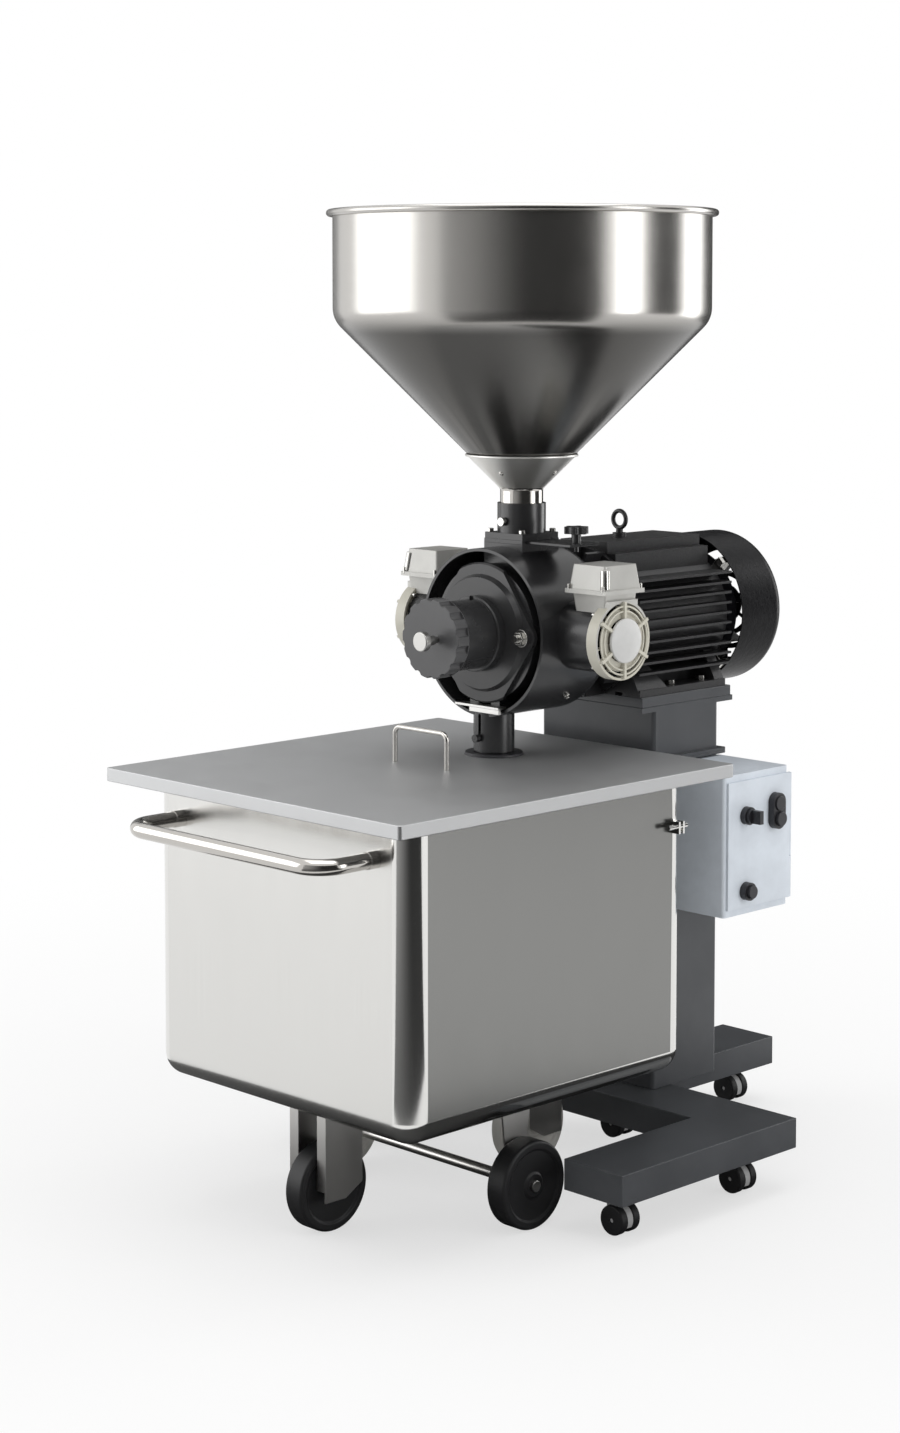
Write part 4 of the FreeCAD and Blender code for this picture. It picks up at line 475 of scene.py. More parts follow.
class Maker:
    @staticmethod
    def place(x: float, y: float, z: float) -> Vector:
        """A point of the drawing, in metres, in the model's frame."""
        return Vector((x, y - DATUM_Y, z)) * MM

    @staticmethod
    def add(name: str, data: bpy.types.ID) -> bpy.types.Object:
        """Put a mesh, lamp or camera in the scene as an object at the origin."""
        thing = bpy.data.objects.new(name, data)
        bpy.context.scene.collection.objects.link(thing)
        return thing

    @staticmethod
    def from_bmesh(name: str, shape: bmesh.types.BMesh) -> bpy.types.Object:
        """Turn a bmesh into an object with faces outwards and sharp edges kept.

        Args:
            name: the object's name.
            shape: the bmesh, which is freed.
        """
        bmesh.ops.remove_doubles(shape, verts=shape.verts, dist=MERGE)
        bmesh.ops.recalc_face_normals(shape, faces=shape.faces)
        return Maker.smoothed(name, shape, SHARP_ANGLE)

    @staticmethod
    def smoothed(name: str, shape: bmesh.types.BMesh, sharp: float) -> bpy.types.Object:
        """Turn a bmesh, which is freed, into an object that is smooth below an angle in degrees."""
        mesh = bpy.data.meshes.new(name)
        shape.to_mesh(mesh)
        shape.free()
        for face in mesh.polygons:
            face.use_smooth = True
        mesh.set_sharp_from_angle(angle=math.radians(sharp))
        return Maker.add(name, mesh)

    @staticmethod
    def turned(name: str, axis: Axis, centre: Point, *profiles: Profile,
               steps: int = 128) -> bpy.types.Object:
        """Turn closed profiles about an axis.

        Args:
            name: the object's name.
            axis: the direction of the axis.
            centre: a drawing point on the axis; heights are counted from it.
            profiles: closed outlines of (radius, height) or (radius, height, rounding).
            steps: pieces of the circle.
        """
        shape = bmesh.new()
        for profile in profiles:
            rings = []
            for radius, height in arc_points(profile):
                ring = []
                for across, along in circle(radius, steps):
                    local = {Axis.X: (height, across, along), Axis.Y: (along, height, across),
                             Axis.Z: (across, along, height)}[axis]
                    ring.append(shape.verts.new(Maker.place(*(c + v for c, v in zip(centre, local)))))
                rings.append(ring)
            Maker.bridge(shape, [*rings, rings[0]])
        return Maker.from_bmesh(name, shape)

    @staticmethod
    def bridge(shape: bmesh.types.BMesh, rings: list[list[bmesh.types.BMVert]]) -> None:
        """Join each ring of corners with the next by faces."""
        for ring, other in zip(rings, rings[1:]):
            for step in range(len(ring)):
                after = (step + 1) % len(ring)
                shape.faces.new((ring[step], ring[after], other[after], other[step]))

    @staticmethod
    def softened(node: bpy.types.Object, width: float) -> bpy.types.Object:
        """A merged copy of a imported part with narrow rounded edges.

        Args:
            node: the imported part.
            width: the rounding in millimetres.
        """
        shape = bmesh.new()
        shape.from_mesh(node.data)
        bmesh.ops.remove_doubles(shape, verts=shape.verts, dist=PACKED_MERGE)
        bmesh.ops.dissolve_limit(shape, angle_limit=math.radians(FLAT_ANGLE), verts=shape.verts,
                                 edges=shape.edges)
        copy = Maker.smoothed(node.name + "_skin", shape, EDGE_ANGLE)
        bevel = copy.modifiers.new("edges", "BEVEL")
        bevel.width = width * MM
        bevel.segments = 2
        bevel.limit_method = "ANGLE"
        bevel.angle_limit = math.radians(EDGE_ANGLE)
        bevel.use_clamp_overlap = True
        weigh = copy.modifiers.new("normals", "WEIGHTED_NORMAL")
        weigh.keep_sharp = True
        graph = bpy.context.evaluated_depsgraph_get()
        graph.update()
        copy.data = bpy.data.meshes.new_from_object(copy.evaluated_get(graph), depsgraph=graph)
        copy.modifiers.clear()
        return copy

    @staticmethod
    def rod(name: str, start: Point, finish: Point, radius: float, rounding: float = 0.6,
            steps: int = 24) -> bpy.types.Object:
        """A round bar between two drawing points with softened ends."""
        first, last = Maker.place(*start), Maker.place(*finish)
        turn = (last - first).to_track_quat("Z", "Y").to_matrix()
        top = (last - first).length / MM
        profile = arc_points([(0, 0), (radius, 0, rounding), (radius, top, rounding), (0, top)], 3)
        shape = bmesh.new()
        rings = [[shape.verts.new(first + turn @ (Vector((*spot, height)) * MM))
                  for spot in circle(reach, steps)] for reach, height in profile]
        Maker.bridge(shape, rings)
        return Maker.from_bmesh(name, shape)

    @staticmethod
    def dress(piece: bpy.types.Object, body: str, finish: Finish, slot: str,
              *nodes: str) -> bpy.types.Object:
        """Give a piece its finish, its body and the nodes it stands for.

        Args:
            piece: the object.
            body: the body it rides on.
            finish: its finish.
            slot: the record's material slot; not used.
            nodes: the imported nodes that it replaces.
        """
        piece.data.materials.clear()
        piece.data.materials.append(finish.material())
        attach(piece, body)
        if nodes:
            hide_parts(*nodes)
        log.info("%s: %d faces on %s", piece.name, len(piece.data.polygons), body)
        return piece


class CopyTree:
    """A Geometry Nodes tree that repeats a mesh round an axis or along a line."""

    def __init__(self, name: str) -> None:
        """Build the tree with its named inputs."""
        self.tree = bpy.data.node_groups.new(name, "GeometryNodeTree")
        face = self.tree.interface
        self.sockets = {}
        for label, kind in (("Geometry", "NodeSocketGeometry"), ("Count", "NodeSocketInt"),
                            ("Turn", "NodeSocketFloat"), ("Phase", "NodeSocketFloat"),
                            ("Step", "NodeSocketVector"), ("Finish", "NodeSocketMaterial")):
            self.sockets[label] = face.new_socket(label, in_out="INPUT", socket_type=kind)
        face.new_socket("Geometry", in_out="OUTPUT", socket_type="NodeSocketGeometry")
        make, link = self.tree.nodes.new, self.tree.links.new
        entry, leave = make("NodeGroupInput"), make("NodeGroupOutput")
        line = make("GeometryNodeMeshLine")
        link(entry.outputs["Count"], line.inputs["Count"])
        link(entry.outputs["Step"], line.inputs["Offset"])
        index = make("GeometryNodeInputIndex")
        angle = make("ShaderNodeMath")
        angle.operation = "MULTIPLY_ADD"
        link(index.outputs[0], angle.inputs[0])
        link(entry.outputs["Turn"], angle.inputs[1])
        link(entry.outputs["Phase"], angle.inputs[2])
        turn = make("ShaderNodeCombineXYZ")
        link(angle.outputs[0], turn.inputs["Z"])
        copies = make("GeometryNodeInstanceOnPoints")
        link(line.outputs[0], copies.inputs["Points"])
        link(entry.outputs["Geometry"], copies.inputs["Instance"])
        link(turn.outputs[0], copies.inputs["Rotation"])
        solid = make("GeometryNodeRealizeInstances")
        link(copies.outputs[0], solid.inputs[0])
        paint = make("GeometryNodeSetMaterial")
        link(solid.outputs[0], paint.inputs["Geometry"])
        link(entry.outputs["Finish"], paint.inputs["Material"])
        link(paint.outputs[0], leave.inputs[0])

    def run(self, name: str, pattern: bpy.types.Object, frame: Matrix, finish: Finish, count: int,
            turn: float = 0.0, phase: float = 0.0, step: Point = (0.0, 0.0, 0.0)) -> bpy.types.Object:
        """Repeat a pattern.

        Args:
            name: the result's name.
            pattern: the object to repeat, made round the Z axis of frame; it is removed.
            frame: where the tree's own axes lie in the model.
            finish: the material of the copies.
            count: how many.
            turn: degrees from one copy to the next about frame's Z.
            phase: degrees before the first.
            step: millimetres from one copy to the next.

        Returns:
            One object with a plain mesh, at the origin.
        """
        modifier = pattern.modifiers.new("copies", "NODES")
        modifier.node_group = self.tree
        values = {"Count": count, "Turn": math.radians(turn), "Phase": math.radians(phase),
                  "Step": [part * MM for part in step], "Finish": finish.material()}
        for label, value in values.items():
            modifier[self.sockets[label].identifier] = value
        pattern.update_tag()
        graph = bpy.context.evaluated_depsgraph_get()
        graph.update()
        mesh = bpy.data.meshes.new_from_object(pattern.evaluated_get(graph), depsgraph=graph)
        pattern.modifiers.remove(modifier)
        bpy.data.objects.remove(pattern)
        mesh.transform(frame)
        mesh.name = name
        return Maker.add(name, mesh)


def axis_frame(axis: Axis, centre: Point) -> Matrix:
    """The matrix that lays a tree's Z axis along an axis of the drawing."""
    turns = {Axis.X: Matrix.Rotation(math.pi / 2, 4, "Y"), Axis.Y: Matrix.Rotation(-math.pi / 2, 4, "X"),
             Axis.Z: Matrix.Identity(4)}
    return Matrix.Translation(Maker.place(*centre)) @ turns[axis]


def local_turned(name: str, *profiles: Profile, steps: int = 24,
                 tilt: Matrix | None = None) -> bpy.types.Object:
    """A turned pattern about Z at the origin, before it is tilted and repeated.

    Args:
        name: the pattern's name.
        profiles: closed outlines in millimetres.
        steps: pieces of the circle.
        tilt: a matrix for its place in the pattern's frame.
    """
    thing = Maker.turned(name, Axis.Z, (0.0, DATUM_Y, 0.0), *profiles, steps=steps)
    if tilt is not None:
        thing.data.transform(tilt)
    return thing


class Machine:
    """What the sub-assemblies share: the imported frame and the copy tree."""

    def __init__(self, frame: dict) -> None:
        """Keep the frame, and build the tree that repeats fasteners."""
        self.nodes = frame["nodes"]
        self.body_of = {node: name for name, members in frame["record"]["behaviour"]["bodies"].items()
                        for node in members}
        self.slot_of = {row["node"]: row["material_slot"] for row in frame["record"]["subparts"]}
        self.copies = CopyTree("copies_round_or_along")

    def soften(self, node: str, finish: Finish, width: float = 0.8) -> bpy.types.Object:
        """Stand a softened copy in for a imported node.

        Args:
            node: the node's name.
            finish: the copy's finish.
            width: the edge rounding in millimetres.
        """
        return self.stand_in(Maker.softened(self.nodes[node], width), node, finish)

    def soften_all(self, finishes: dict[str, tuple[Finish, float]]) -> dict[str, bpy.types.Object]:
        """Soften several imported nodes, each with its finish and edge rounding."""
        return {node: self.soften(node, *how) for node, how in finishes.items()}

    @staticmethod
    def tint(skin: bpy.types.Object, finish: Finish, chosen: Callable[[Vector], bool]) -> None:
        """Give some faces of a skin a finish of their own.

        Args:
            skin: the piece.
            finish: the finish of the chosen faces.
            chosen: says of a point of the drawing, in millimetres, whether it belongs to them; a
                face does when all its corners do.
        """
        skin.data.materials.append(finish.material())
        slot = len(skin.data.materials) - 1
        inside = [chosen(spot.co / MM + Vector((0.0, DATUM_Y, 0.0))) for spot in skin.data.vertices]
        for face in skin.data.polygons:
            if all(inside[corner] for corner in face.vertices):
                face.material_index = slot

    def fasten(self, name: str, pattern: bpy.types.Object, frame: Matrix, count: int,
               turn: float = 0.0, phase: float = 0.0, step: Point = (0.0, 0.0, 0.0)) -> None:
        """Repeat a small bright fastener on the stand. The arguments are those of CopyTree.run."""
        made = self.copies.run(name, pattern, frame, Finishes.TURNED, count, turn, phase, step)
        Maker.dress(made, "stand", Finishes.TURNED, "stainless")

    def stand_in(self, piece: bpy.types.Object, node: str, finish: Finish) -> bpy.types.Object:
        """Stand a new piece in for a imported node."""
        return Maker.dress(piece, self.body_of[node], finish, self.slot_of[node], node)


@dataclass
class Hopper:
    """The bean hopper: a spun drum and cone that stands in the collar."""

    machine: Machine
    feed_y: float = -24.4
    sheet: float = 2.0
    drum_radius: float = 313.0
    drum_round: float = 46.0
    knee: float = 1429.55
    rim: float = 1604.0
    bead: float = 5.78
    foot_radius: float = 61.45
    foot: float = 1178.0
    neck_radius: float = 35.7
    neck_top: float = 1149.0
    lip: float = 1205.0
    lip_bead: float = 2.2
    lip_gap: float = 0.3
    polish_rise: float = 6.0
    neck_foot: float = 1077.0
    screw_level: float = 1177.0
    screw_phase: float = -78.0
    screw_lean: float = 135.0
    pan_head: ClassVar[Profile] = ((0, -1), (4.2, -1), (4.2, 1.2, 1.1), (1.6, 2.4), (0, 1.6))

    def build(self) -> None:
        """Turn the hopper and the collar, and set the collar's screws."""
        slant = self.sheet * (math.sqrt(2) - 1)
        inner = self.drum_radius - self.sheet
        centre = (0.0, self.feed_y, 0.0)
        bead_centre = self.drum_radius + self.bead - self.sheet / 2
        shell = [(self.foot_radius, self.foot), (self.drum_radius, self.knee, self.drum_round),
                 (self.drum_radius, self.rim), (inner, self.rim),
                 (inner, self.knee + slant, self.drum_round - self.sheet),
                 (self.foot_radius - self.sheet - slant, self.foot)]
        bead = self.bead_outline(bead_centre, self.rim, self.bead)
        hopper = Maker.turned("hopper_shell", Axis.Z, centre, shell, bead, steps=192)
        self.machine.stand_in(hopper, "hopper", Finishes.DRUM)

        top = self.neck_radius + self.lip - self.neck_top
        cone_at_lip = top - (self.sheet + self.lip_gap) * math.sqrt(2)
        collar = [(self.neck_radius - self.sheet, self.neck_foot), (self.neck_radius, self.neck_foot),
                  (self.neck_radius, self.neck_top, 8), (top, self.lip),
                  (top - self.sheet * math.sqrt(2), self.lip),
                  (self.neck_radius - self.sheet, self.neck_top + slant, 10)]
        lip_radius = cone_at_lip + (self.lip_bead + self.lip_gap) * math.sqrt(2)
        lip = self.bead_outline(lip_radius, self.lip, self.lip_bead)
        ring = Maker.turned("collar_cone", Axis.Z, centre, collar, lip, steps=128)
        self.machine.stand_in(ring, "hopper_collar", Finishes.CONE)
        self.machine.tint(ring, Finishes.POLISHED, lambda spot: spot.z < self.neck_top + self.polish_rise)
        self.screws(centre)

    @staticmethod
    def bead_outline(radius: float, height: float, wire: float) -> Profile:
        """The round outline of a bead, as of a wire of that radius."""
        return [(radius + out, height + up) for out, up in circle(wire, BEAD_STEPS)]

    def screws(self, centre: Point) -> None:
        """Pan-head screws through the collar's cone."""
        radius = self.neck_radius + self.screw_level - self.neck_top
        lean = Matrix.Rotation(math.radians(self.screw_lean), 4, "Y")
        tilt = Matrix.Translation(Vector((radius, 0, self.screw_level)) * MM) @ lean
        head = local_turned("screw", self.pan_head, tilt=tilt)
        self.machine.fasten("collar_screws", head, axis_frame(Axis.Z, centre), 4, 90.0, self.screw_phase)


@dataclass
class Stand:
    """The painted frame, its column and the casters under it."""

    machine: Machine

    def build(self) -> None:
        """Soften the welded frame and dress the casters."""
        for node in ("base_frame", "column", "riser", "motor_plate"):
            self.machine.soften(node, Finishes.FRAME, 1.2)
        for name in ("front_right", "front_left", "rear_right", "rear_left", "centre", "tail"):
            self.machine.soften("caster_" + name, Finishes.HUB_GREY, 0.8)
            self.machine.soften("caster_wheels_" + name, Finishes.RUBBER, 0.8)


@dataclass
class Motor:
    """The finned motor with its shield, cowl and lifting eye."""

    machine: Machine

    def build(self) -> None:
        """Dress the castings, the shaft and the fan."""
        finishes = {
            "motor_frame": (Finishes.CAST, 0.8), "motor_shield": (Finishes.CAST, 1.0),
            "motor_cowl": (Finishes.ROUGH, 0.6), "eyebolt": (Finishes.CAST, 0.6),
            "motor_fan": (Finishes.PLASTIC, 0.5), "main_shaft": (Finishes.TURNED, 0.6),
            "bearings": (Finishes.TURNED, 0.4),
        }
        self.machine.soften_all(finishes)


@dataclass
class Head:
    """The grinding head with its cover, hand wheel, gate and outlet."""

    machine: Machine
    axis: float = 916.0
    stud_offset: float = 99.5
    cover_seat: float = -127.0
    drum_radius: float = 139.0
    drum_screw_y: float = -13.1
    drum_screw_phase: float = 48.8
    clamp_y: float = -65.2
    clamp_z: float = 1096.0
    clamp_half: float = 8.0
    stud: ClassVar[Profile] = ((0, -2), (5.6, -2), (5.6, 3.2, 0.8), (3, 3.2), (3, 7, 0.8), (0, 7))
    washer: ClassVar[Profile] = ((6.4, 0.2), (14.2, 0.2), (14.2, 2.2, 0.6), (6.4, 2.2))

    def build(self) -> None:
        """Dress the head's parts."""
        finishes = {
            "grinder_housing": (Finishes.COAT, 1.0), "front_cover": (Finishes.COVER, 1.4),
            "hub_collar": (Finishes.COVER, 1.2), "hand_wheel": (Finishes.WHEEL, 1.2),
            "feed_tube": (Finishes.COAT, 0.8), "gate_body": (Finishes.COAT, 0.6),
            "gate_slide": (Finishes.COAT, 0.6), "outlet_chute": (Finishes.COAT, 0.5),
            "lock_pin": (Finishes.FACED, 0.6), "rotating_burr": (Finishes.BURR, 0.4),
            "fixed_burr": (Finishes.BURR, 0.4), "strip_bracket": (Finishes.FOLDED, 0.5),
            "outlet_sleeve": (Finishes.COAT, 0.5), "bolts": (Finishes.TURNED, 0.5),
        }
        skins = self.machine.soften_all(finishes)
        self.machine.tint(skins["feed_tube"], Finishes.TURNED, self.on_clamp)
        self.washers()
        self.drum_screws()

    def on_clamp(self, spot: Vector) -> bool:
        """Whether a point belongs to the clamp screw of the feed tube."""
        return spot.y < self.clamp_y and abs(spot.z - self.clamp_z) < self.clamp_half

    def drum_screws(self) -> None:
        """A short stud with its nut on each flank of the housing."""
        outwards = Matrix.Rotation(math.pi / 2, 4, "Y")
        tilt = Matrix.Translation(Vector((self.drum_radius, 0.0, 0.0)) * MM) @ outwards
        stud = local_turned("drum_stud", self.stud, tilt=tilt)
        frame = axis_frame(Axis.Y, (0.0, self.drum_screw_y, self.axis))
        turn = 180.0 - 2 * self.drum_screw_phase
        self.machine.fasten("drum_screws", stud, frame, 2, turn, self.drum_screw_phase)

    def washers(self) -> None:
        """Plain washers under the cover's two nuts."""
        tilt = Matrix.Translation(Vector((self.stud_offset, 0.0, 0.0)) * MM)
        ring = local_turned("washer", self.washer, steps=40, tilt=tilt)
        seat = (0.0, self.cover_seat, self.axis)
        frame = axis_frame(Axis.Y, seat) @ Matrix.Rotation(math.pi, 4, "X")
        self.machine.fasten("cover_washers", ring, frame, 2, 180.0)


@dataclass
class SideFans:
    """The cooling fans on both sides of the head."""

    machine: Machine
    place: float = -30.0
    level: float = 916.0
    start: float = 211.0
    end: float = 232.0
    ring_radius: float = 64.5
    disc_radius: float = 36.0
    cup_radius: float = 50.5
    cup_overlap: float = 0.5
    cup_rise: float = 2.6
    cup_wall: float = 1.4
    well_radius: float = 7.5
    well_x: float = 227.4
    well_y: float = -68.4
    well_low: float = 999.0
    well_high: float = 1030.0
    lean: float = 3.8
    box_outer: float = 229.0
    box_inner: float = 155.0
    box_half: float = 45.0
    lip: float = 999.0
    slack: float = 0.2
    disc_step: float = 2.0
    ring_screw: tuple[float, float, float] = (60.2, 3.3, 6.2)
    lip_screw: ClassVar[Profile] = ((0, -4), (2.6, -4), (2.6, 6.5, 0.8), (0, 6.5))

    def build(self) -> None:
        """Dress the boxes, the grilles and their discs, and the impellers."""
        for side in ("right", "left"):
            unit = self.machine.soften("side_fan_" + side, Finishes.ALLOY, 0.7)
            self.machine.tint(unit, Finishes.RING, self.on_ring)
            self.machine.tint(unit, Finishes.DISC, self.on_disc)
            self.machine.soften("impeller_" + side, Finishes.RING, 0.4)
            self.lip_screws(side)
            self.ring_screws(side)
            self.cup(side)
            self.screw_well(side)

    def screw_well(self, side: str) -> None:
        """The bright sleeve of the lid's screw, in the near corner of a wiring box."""
        turn = 1.0 if side == "right" else -1.0
        foot = (turn * self.well_x, self.well_y, self.well_low)
        head = (turn * (self.well_x - self.lean), self.well_y + self.lean, self.well_high)
        made = Maker.rod("screw_well_" + side, foot, head, self.well_radius, 0.8, 32)
        Maker.dress(made, "stand", Finishes.TURNED, "stainless")

    def cup(self, side: str) -> None:
        """The tapered cup that carries a grille's disc."""
        node = "side_fan_" + side
        turn = 1.0 if side == "right" else -1.0
        top, inner = self.end - 1.0, self.disc_radius - self.cup_overlap
        outline = [(inner, top), (self.cup_radius, top - self.cup_rise),
                   (self.cup_radius, top - self.cup_rise - self.cup_wall), (inner, top - self.cup_wall)]
        made = Maker.turned("fan_cup_" + side, Axis.X, (0.0, self.place, self.level),
                            [(radius, turn * reach) for radius, reach in outline], steps=96)
        Maker.dress(made, self.machine.body_of[node], Finishes.RING, self.machine.slot_of[node])

    def ring_screws(self, side: str) -> None:
        """Four screws that hold a fan on its nozzle."""
        place, radius, height = self.ring_screw
        high = self.start + self.slack
        low = high - height
        if side == "left":
            low, high = -high, -low
        tilt = Matrix.Translation(Vector((place, 0.0, 0.0)) * MM)
        profile = [(0, low), (radius, low, 0.6), (radius, high, 0.6), (0, high)]
        head = local_turned("ring_screw", profile, steps=20, tilt=tilt)
        frame = axis_frame(Axis.X, (0.0, self.place, self.level))
        self.machine.fasten("ring_screws_" + side, head, frame, 4, 90.0, 45.0)

    def lip_screws(self, side: str) -> None:
        """Four small screws that hold a wiring box's lid down."""
        for name, reach in (("outer", self.box_outer), ("inner", self.box_inner)):
            x = reach if side == "right" else -reach
            head = local_turned("lip_screw", self.lip_screw, steps=16)
            frame = axis_frame(Axis.Z, (x, self.place - self.box_half, self.lip))
            self.machine.fasten("lip_screws_" + name + "_" + side, head, frame, 2,
                                step=(0.0, 2 * self.box_half, 0.0))

    def reach(self, spot: Vector) -> float:
        """How far a point lies from the fans' common axis."""
        return math.hypot(spot.y - self.place, spot.z - self.level)

    def on_ring(self, spot: Vector) -> bool:
        """Whether a point belongs to the grille's rings and spokes."""
        return abs(spot.x) > self.start - self.slack and self.reach(spot) < self.ring_radius + self.slack

    def on_disc(self, spot: Vector) -> bool:
        """Whether a point belongs to the disc in the grille's middle."""
        return abs(spot.x) > self.end + self.disc_step and self.reach(spot) < self.disc_radius + self.slack


@dataclass
class ControlBox:
    """The switch box on the column and its door."""

    machine: Machine
    bezel: float = 12.0
    bezel_radius: float = 16.0
    knob_reach: float = 10.5
    panel: float = 0.0
    switch_y: float = 215.0
    switch_z: float = 607.0
    round_z: float = 480.0
    oval_y: float = 290.0
    oval_z: float = 606.0
    oval_half: float = 17.0
    oval_high: float = 31.5
    slack: float = 0.3

    def build(self) -> None:
        """Dress the box, the door and the operating parts."""
        self.machine.soften("control_enclosure", Finishes.BOX, 1.0)
        door = self.machine.soften("control_door", Finishes.BOX, 1.0)
        corners = self.machine.nodes["control_door"].data.vertices
        self.panel = max(spot.co.x for spot in corners) / MM - self.bezel
        self.machine.tint(door, Finishes.PLASTIC, self.on_bezel)
        for node in ("rotary_switch", "start_button", "stop_button", "push_button"):
            self.machine.soften(node, Finishes.PLASTIC, 0.8)

    def on_bezel(self, spot: Vector) -> bool:
        """Whether a point belongs to a black bezel on the door."""
        if spot.x < self.panel - self.slack:
            return False
        rounds = ((self.switch_y, self.switch_z), (self.switch_y, self.round_z))
        near = any(math.hypot(spot.y - y, spot.z - z) < self.bezel_radius for y, z in rounds)
        return near or spot.x > self.panel + self.knob_reach or self.on_oval(spot)

    def on_oval(self, spot: Vector) -> bool:
        """Whether a point belongs to the oval bezel of the two buttons."""
        beside, above = abs(spot.y - self.oval_y), abs(spot.z - self.oval_z)
        return beside < self.oval_half and above < self.oval_high


@dataclass
class Cart:
    """The bin on its cart, with lid, handles and wheels."""

    machine: Machine
    flank: float = 296.4
    front: float = -569.0
    rear: float = 56.4
    rounding: float = 40.0
    corner_slack: float = 0.1
    corner_inset: float = 0.8
    flank_depth: float = 1.4
    lid_top: float = 712.0
    spout_y: float = -89.3
    seal_radius: float = 52.0
    seal_slack: float = 0.3

    def build(self) -> None:
        """Dress the bin, the handles, the running gear and the wheels."""
        tub = self.machine.soften("bin_body", Finishes.SHEET, 0.6)
        # Painted highlight on the bin's rounded upright corners and painted shade on its side sheets.
        self.machine.tint(tub, Finishes.PAINTED_HIGHLIGHT_CORNER, self.on_painted_highlight_corner)
        self.machine.tint(tub, Finishes.PAINTED_SHADE_FLANK, self.on_painted_shade_flank)
        lid = self.machine.soften("bin_lid", Finishes.LID, 1.2)
        self.machine.tint(lid, Finishes.PLASTIC, self.on_seal)
        self.machine.soften("lid_handle", Finishes.POLISHED, 0.3)
        self.machine.soften("push_handle", Finishes.POLISHED, 0.4)
        for node in ("axle", "fork_front", "fork_rear"):
            self.machine.soften(node, Finishes.FOLDED, 0.6)
        for node in ("wheel_right", "caster_wheel_front"):
            self.machine.soften(node, Finishes.RUBBER, 0.8)
        # The far wheels: black rubber painted pale, as painted reflection.
        for node in ("wheel_left", "caster_wheel_rear"):
            self.machine.soften(node, Finishes.PAINTED_REFLECTION_RUBBER, 0.8)

    def on_painted_highlight_corner(self, spot: Vector) -> bool:
        """Whether a point belongs to one of the bin's rounded upright corners, which carry a painted
        highlight.
        """
        reach = self.rounding + self.corner_slack
        ends = spot.y < self.front + reach or spot.y > self.rear - reach
        return ends and abs(spot.x) > self.flank - self.rounding + self.corner_inset

    def on_painted_shade_flank(self, spot: Vector) -> bool:
        """Whether a point belongs to the bin's left or right sheet, which carries painted shade."""
        return self.flank < abs(spot.x) < self.flank + self.flank_depth

    def on_seal(self, spot: Vector) -> bool:
        """Whether a point belongs to the black ring round the spout's hole."""
        reach = math.hypot(spot.x, spot.y - self.spout_y)
        return spot.z > self.lid_top - self.seal_slack and reach < self.seal_radius


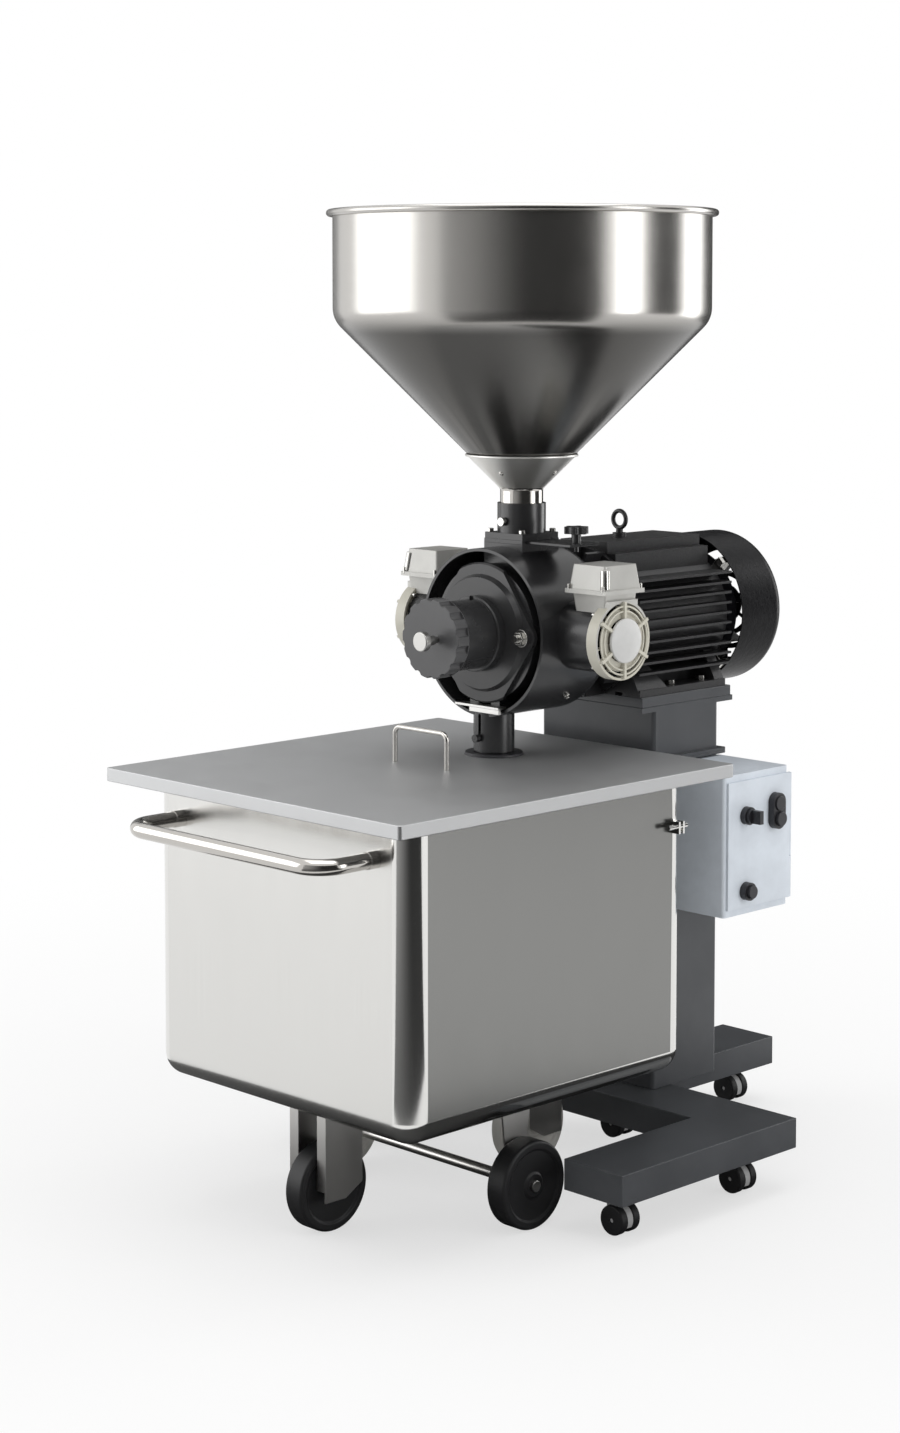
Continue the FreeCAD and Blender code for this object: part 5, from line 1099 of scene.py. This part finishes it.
@dataclass
class Studio:
    """The floor, the lamps, the backdrop and the camera. None of it is part of the machine."""

    backdrop: Point = (1.0, 1.0, 1.0)
    fill: float = 0.55
    floor_white: float = 0.62
    floor_tone: Point = (0.94, 0.94, 0.94)
    floor_half: float = 40.0
    floor_level: float = -0.0005
    floor_drift: Point = (1.2, 1.2, 1.2)
    drift_share: float = 0.3
    drift_dark: float = 0.97
    fade_near: float = 0.8
    fade_far: float = 2.6
    screen_radius: float = 5.6
    screen_height: float = 4.2
    screen_steps: int = 24
    cloth_line: Point = (0.72, 0.70, 0.0)
    cloth_fade: tuple[float, float] = (-4.2, 0.6)
    cloth_foot: float = 0.004
    painted_shade_level: float = 0.002
    carpet_start: float = 1.3
    painted_shade_radius: float = 0.90
    pale_cloth: tuple[float, ...] = (0.50, 0.50, 0.50, 1.0)
    dark_cloth: tuple[float, ...] = (0.045, 0.045, 0.045, 1.0)
    azimuth: float = 45.458
    pitch: float = 4.09
    viewpoint: Point = (3134.7, -3276.4, 1463.1)
    lens: float = 68.44
    raised: float = -0.1555

    def build(self) -> None:
        """Set the world, the floor, the lamps and the camera."""
        self.world()
        self.floor()
        self.lamps()
        self.screens()
        self.camera()
        bpy.context.scene.view_settings.view_transform = "Standard"

    def seen(self, sheet: NodeSheet) -> Field:
        """1 where the backdrop itself is seen: by the camera, in gloss or through glass."""
        path = [sheet.node("ShaderNodeLightPath", out=name)
                for name in ("Is Camera Ray", "Is Glossy Ray", "Is Transmission Ray")]
        return path[0].maths("MAXIMUM", path[1]).maths("MAXIMUM", path[2])

    def world(self) -> None:
        """A pale backdrop that lights the machine at a lower level."""
        world = bpy.data.worlds.new("studio")
        bpy.context.scene.world = world
        sheet = NodeSheet(world)
        strength = self.seen(sheet) * (1.0 - self.fill) + self.fill
        inputs = {"Color": (*self.backdrop, 1.0), "Strength": strength}
        light = sheet.node("ShaderNodeBackground", None, inputs)
        sheet.finish("ShaderNodeOutputWorld", light)

    def floor(self) -> None:
        """A pale floor that fades into the backdrop and keeps the shadow."""
        shape = bmesh.new()
        bmesh.ops.create_grid(shape, x_segments=1, y_segments=1, size=self.floor_half)
        floor = Maker.from_bmesh("floor", shape)
        floor.location.z = self.floor_level
        made = bpy.data.materials.new("floor_paint")
        sheet = NodeSheet(made)
        flat = sheet.vector("MULTIPLY", sheet.place(), (1.0, 1.0, 0.0))
        far = sheet.vector("LENGTH", flat, out="Value")
        drift = sheet.noise(self.floor_drift, detail=2.0)
        darker = tuple(self.drift_dark * part for part in self.floor_tone)
        tone = sheet.mix(drift * self.drift_share, (*self.floor_tone, 1.0), (*darker, 1.0))
        paint = sheet.node("ShaderNodeBsdfDiffuse", None, {"Color": tone})
        glow = sheet.node("ShaderNodeEmission", None, {"Color": (*self.backdrop, 1.0), "Strength": 1.0})
        spread = far.between(self.fade_near, self.fade_far) * (1.0 - self.floor_white) + self.floor_white
        factor = spread * self.seen(sheet)
        both = sheet.node("ShaderNodeMixShader", None, {0: factor, 1: paint, 2: glow})
        sheet.finish("ShaderNodeOutputMaterial", both)
        floor.data.materials.append(made)

    def lamps(self) -> None:
        """Large soft panels: overhead, front left, and two strips to the right."""
        panels = (
            ("overhead", (0.2, -0.2, 4.4), (0.0, 0.0, 0.8), 3.6, 3.6, 70.0),
            ("front_left", (-3.5, -3.3, 1.9), (0.0, 0.0, 0.8), 4.6, 3.4, 80.0),
            ("right_strip", (4.4, 1.5, 1.7), (0.0, 0.0, 1.0), 1.3, 3.4, 42.0),
            ("right_rear", (1.2, 4.6, 1.7), (0.0, 0.0, 0.9), 1.7, 3.4, 46.0),
        )
        for name, spot, aim, wide, high, power in panels:
            data = bpy.data.lights.new(name, "AREA")
            data.shape = "RECTANGLE"
            data.size, data.size_y = wide, high
            data.energy = power
            lamp = Maker.add(name, data)
            lamp.location = spot
            lamp.rotation_mode = "QUATERNION"
            lamp.rotation_quaternion = (Vector(aim) - Vector(spot)).to_track_quat("-Z", "Y")
            lamp.visible_camera = False

    def screens(self) -> None:
        """Grey cloth before the machine and at its far side, which gives metal and enamel dark bands; a
        dark disc under the machine, seen only in reflections, is painted shade for the floor in its shadow.
        """
        cloth = bpy.data.materials.new("grey_cloth")
        sheet = NodeSheet(cloth)
        across = sheet.vector("DOT_PRODUCT", sheet.place(), self.cloth_line, out="Value")
        tone = sheet.mix(across.between(*self.cloth_fade), self.pale_cloth, self.dark_cloth)
        sheet.finish("ShaderNodeOutputMaterial", sheet.node("ShaderNodeBsdfDiffuse", None, {"Color": tone}))
        wall = ((self.screen_radius, self.cloth_foot), (self.screen_radius, self.screen_height))
        # Painted shade: a dark disc under the machine, seen only in reflections, where the floor lies in
        # its shadow.
        painted_shade_disc = ((0.02, self.painted_shade_level), (self.painted_shade_radius, self.painted_shade_level))
        cloths = (
            ("cloth_front", -94.0, 2.0, ((self.carpet_start, self.cloth_foot), *wall)),
            ("cloth_right", 33.0, 60.0, wall),
            ("cloth_side", 92.0, 170.0, wall),
            ("painted_shade_under", -180.0, 180.0, painted_shade_disc),
        )
        for name, start, end, outline in cloths:
            shape = bmesh.new()
            columns = []
            for step in range(self.screen_steps + 1):
                angle = math.radians(start + (end - start) * step / self.screen_steps)
                columns.append([shape.verts.new((reach * math.cos(angle), reach * math.sin(angle), height))
                                for reach, height in outline])
            for first, after in zip(columns, columns[1:]):
                for low in range(len(outline) - 1):
                    shape.faces.new((first[low], after[low], after[low + 1], first[low + 1]))
            screen = Maker.from_bmesh(name, shape)
            screen.data.materials.append(cloth)
            screen.visible_camera = False
            screen.visible_diffuse = False
            screen.visible_shadow = False

    def camera(self) -> None:
        """The photograph's viewpoint: 45.5 degrees round, 4.1 degrees down, with a raised frame."""
        data = bpy.data.cameras.new("camera")
        camera = Maker.add("camera", data)
        azimuth, pitch = math.radians(self.azimuth), math.radians(self.pitch)
        forward = Vector((-math.sin(azimuth) * math.cos(pitch), math.cos(azimuth) * math.cos(pitch),
                          -math.sin(pitch)))
        camera.location = Maker.place(*self.viewpoint)
        camera.rotation_mode = "QUATERNION"
        camera.rotation_quaternion = forward.to_track_quat("-Z", "Y")
        data.sensor_width = 36.0
        data.lens = self.lens
        data.shift_y = self.raised
        data.clip_end = 200.0
        bpy.context.scene.camera = camera


def main() -> None:
    """Load the frame, dress each sub-assembly, and light the scene."""
    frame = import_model()
    machine = Machine(frame)
    for assembly in (Stand, Motor, Head, Hopper, SideFans, ControlBox, Cart):
        assembly(machine).build()
        log.info("%s done", assembly.__name__)
    Studio().build()


if __name__ == "__main__":
    main()
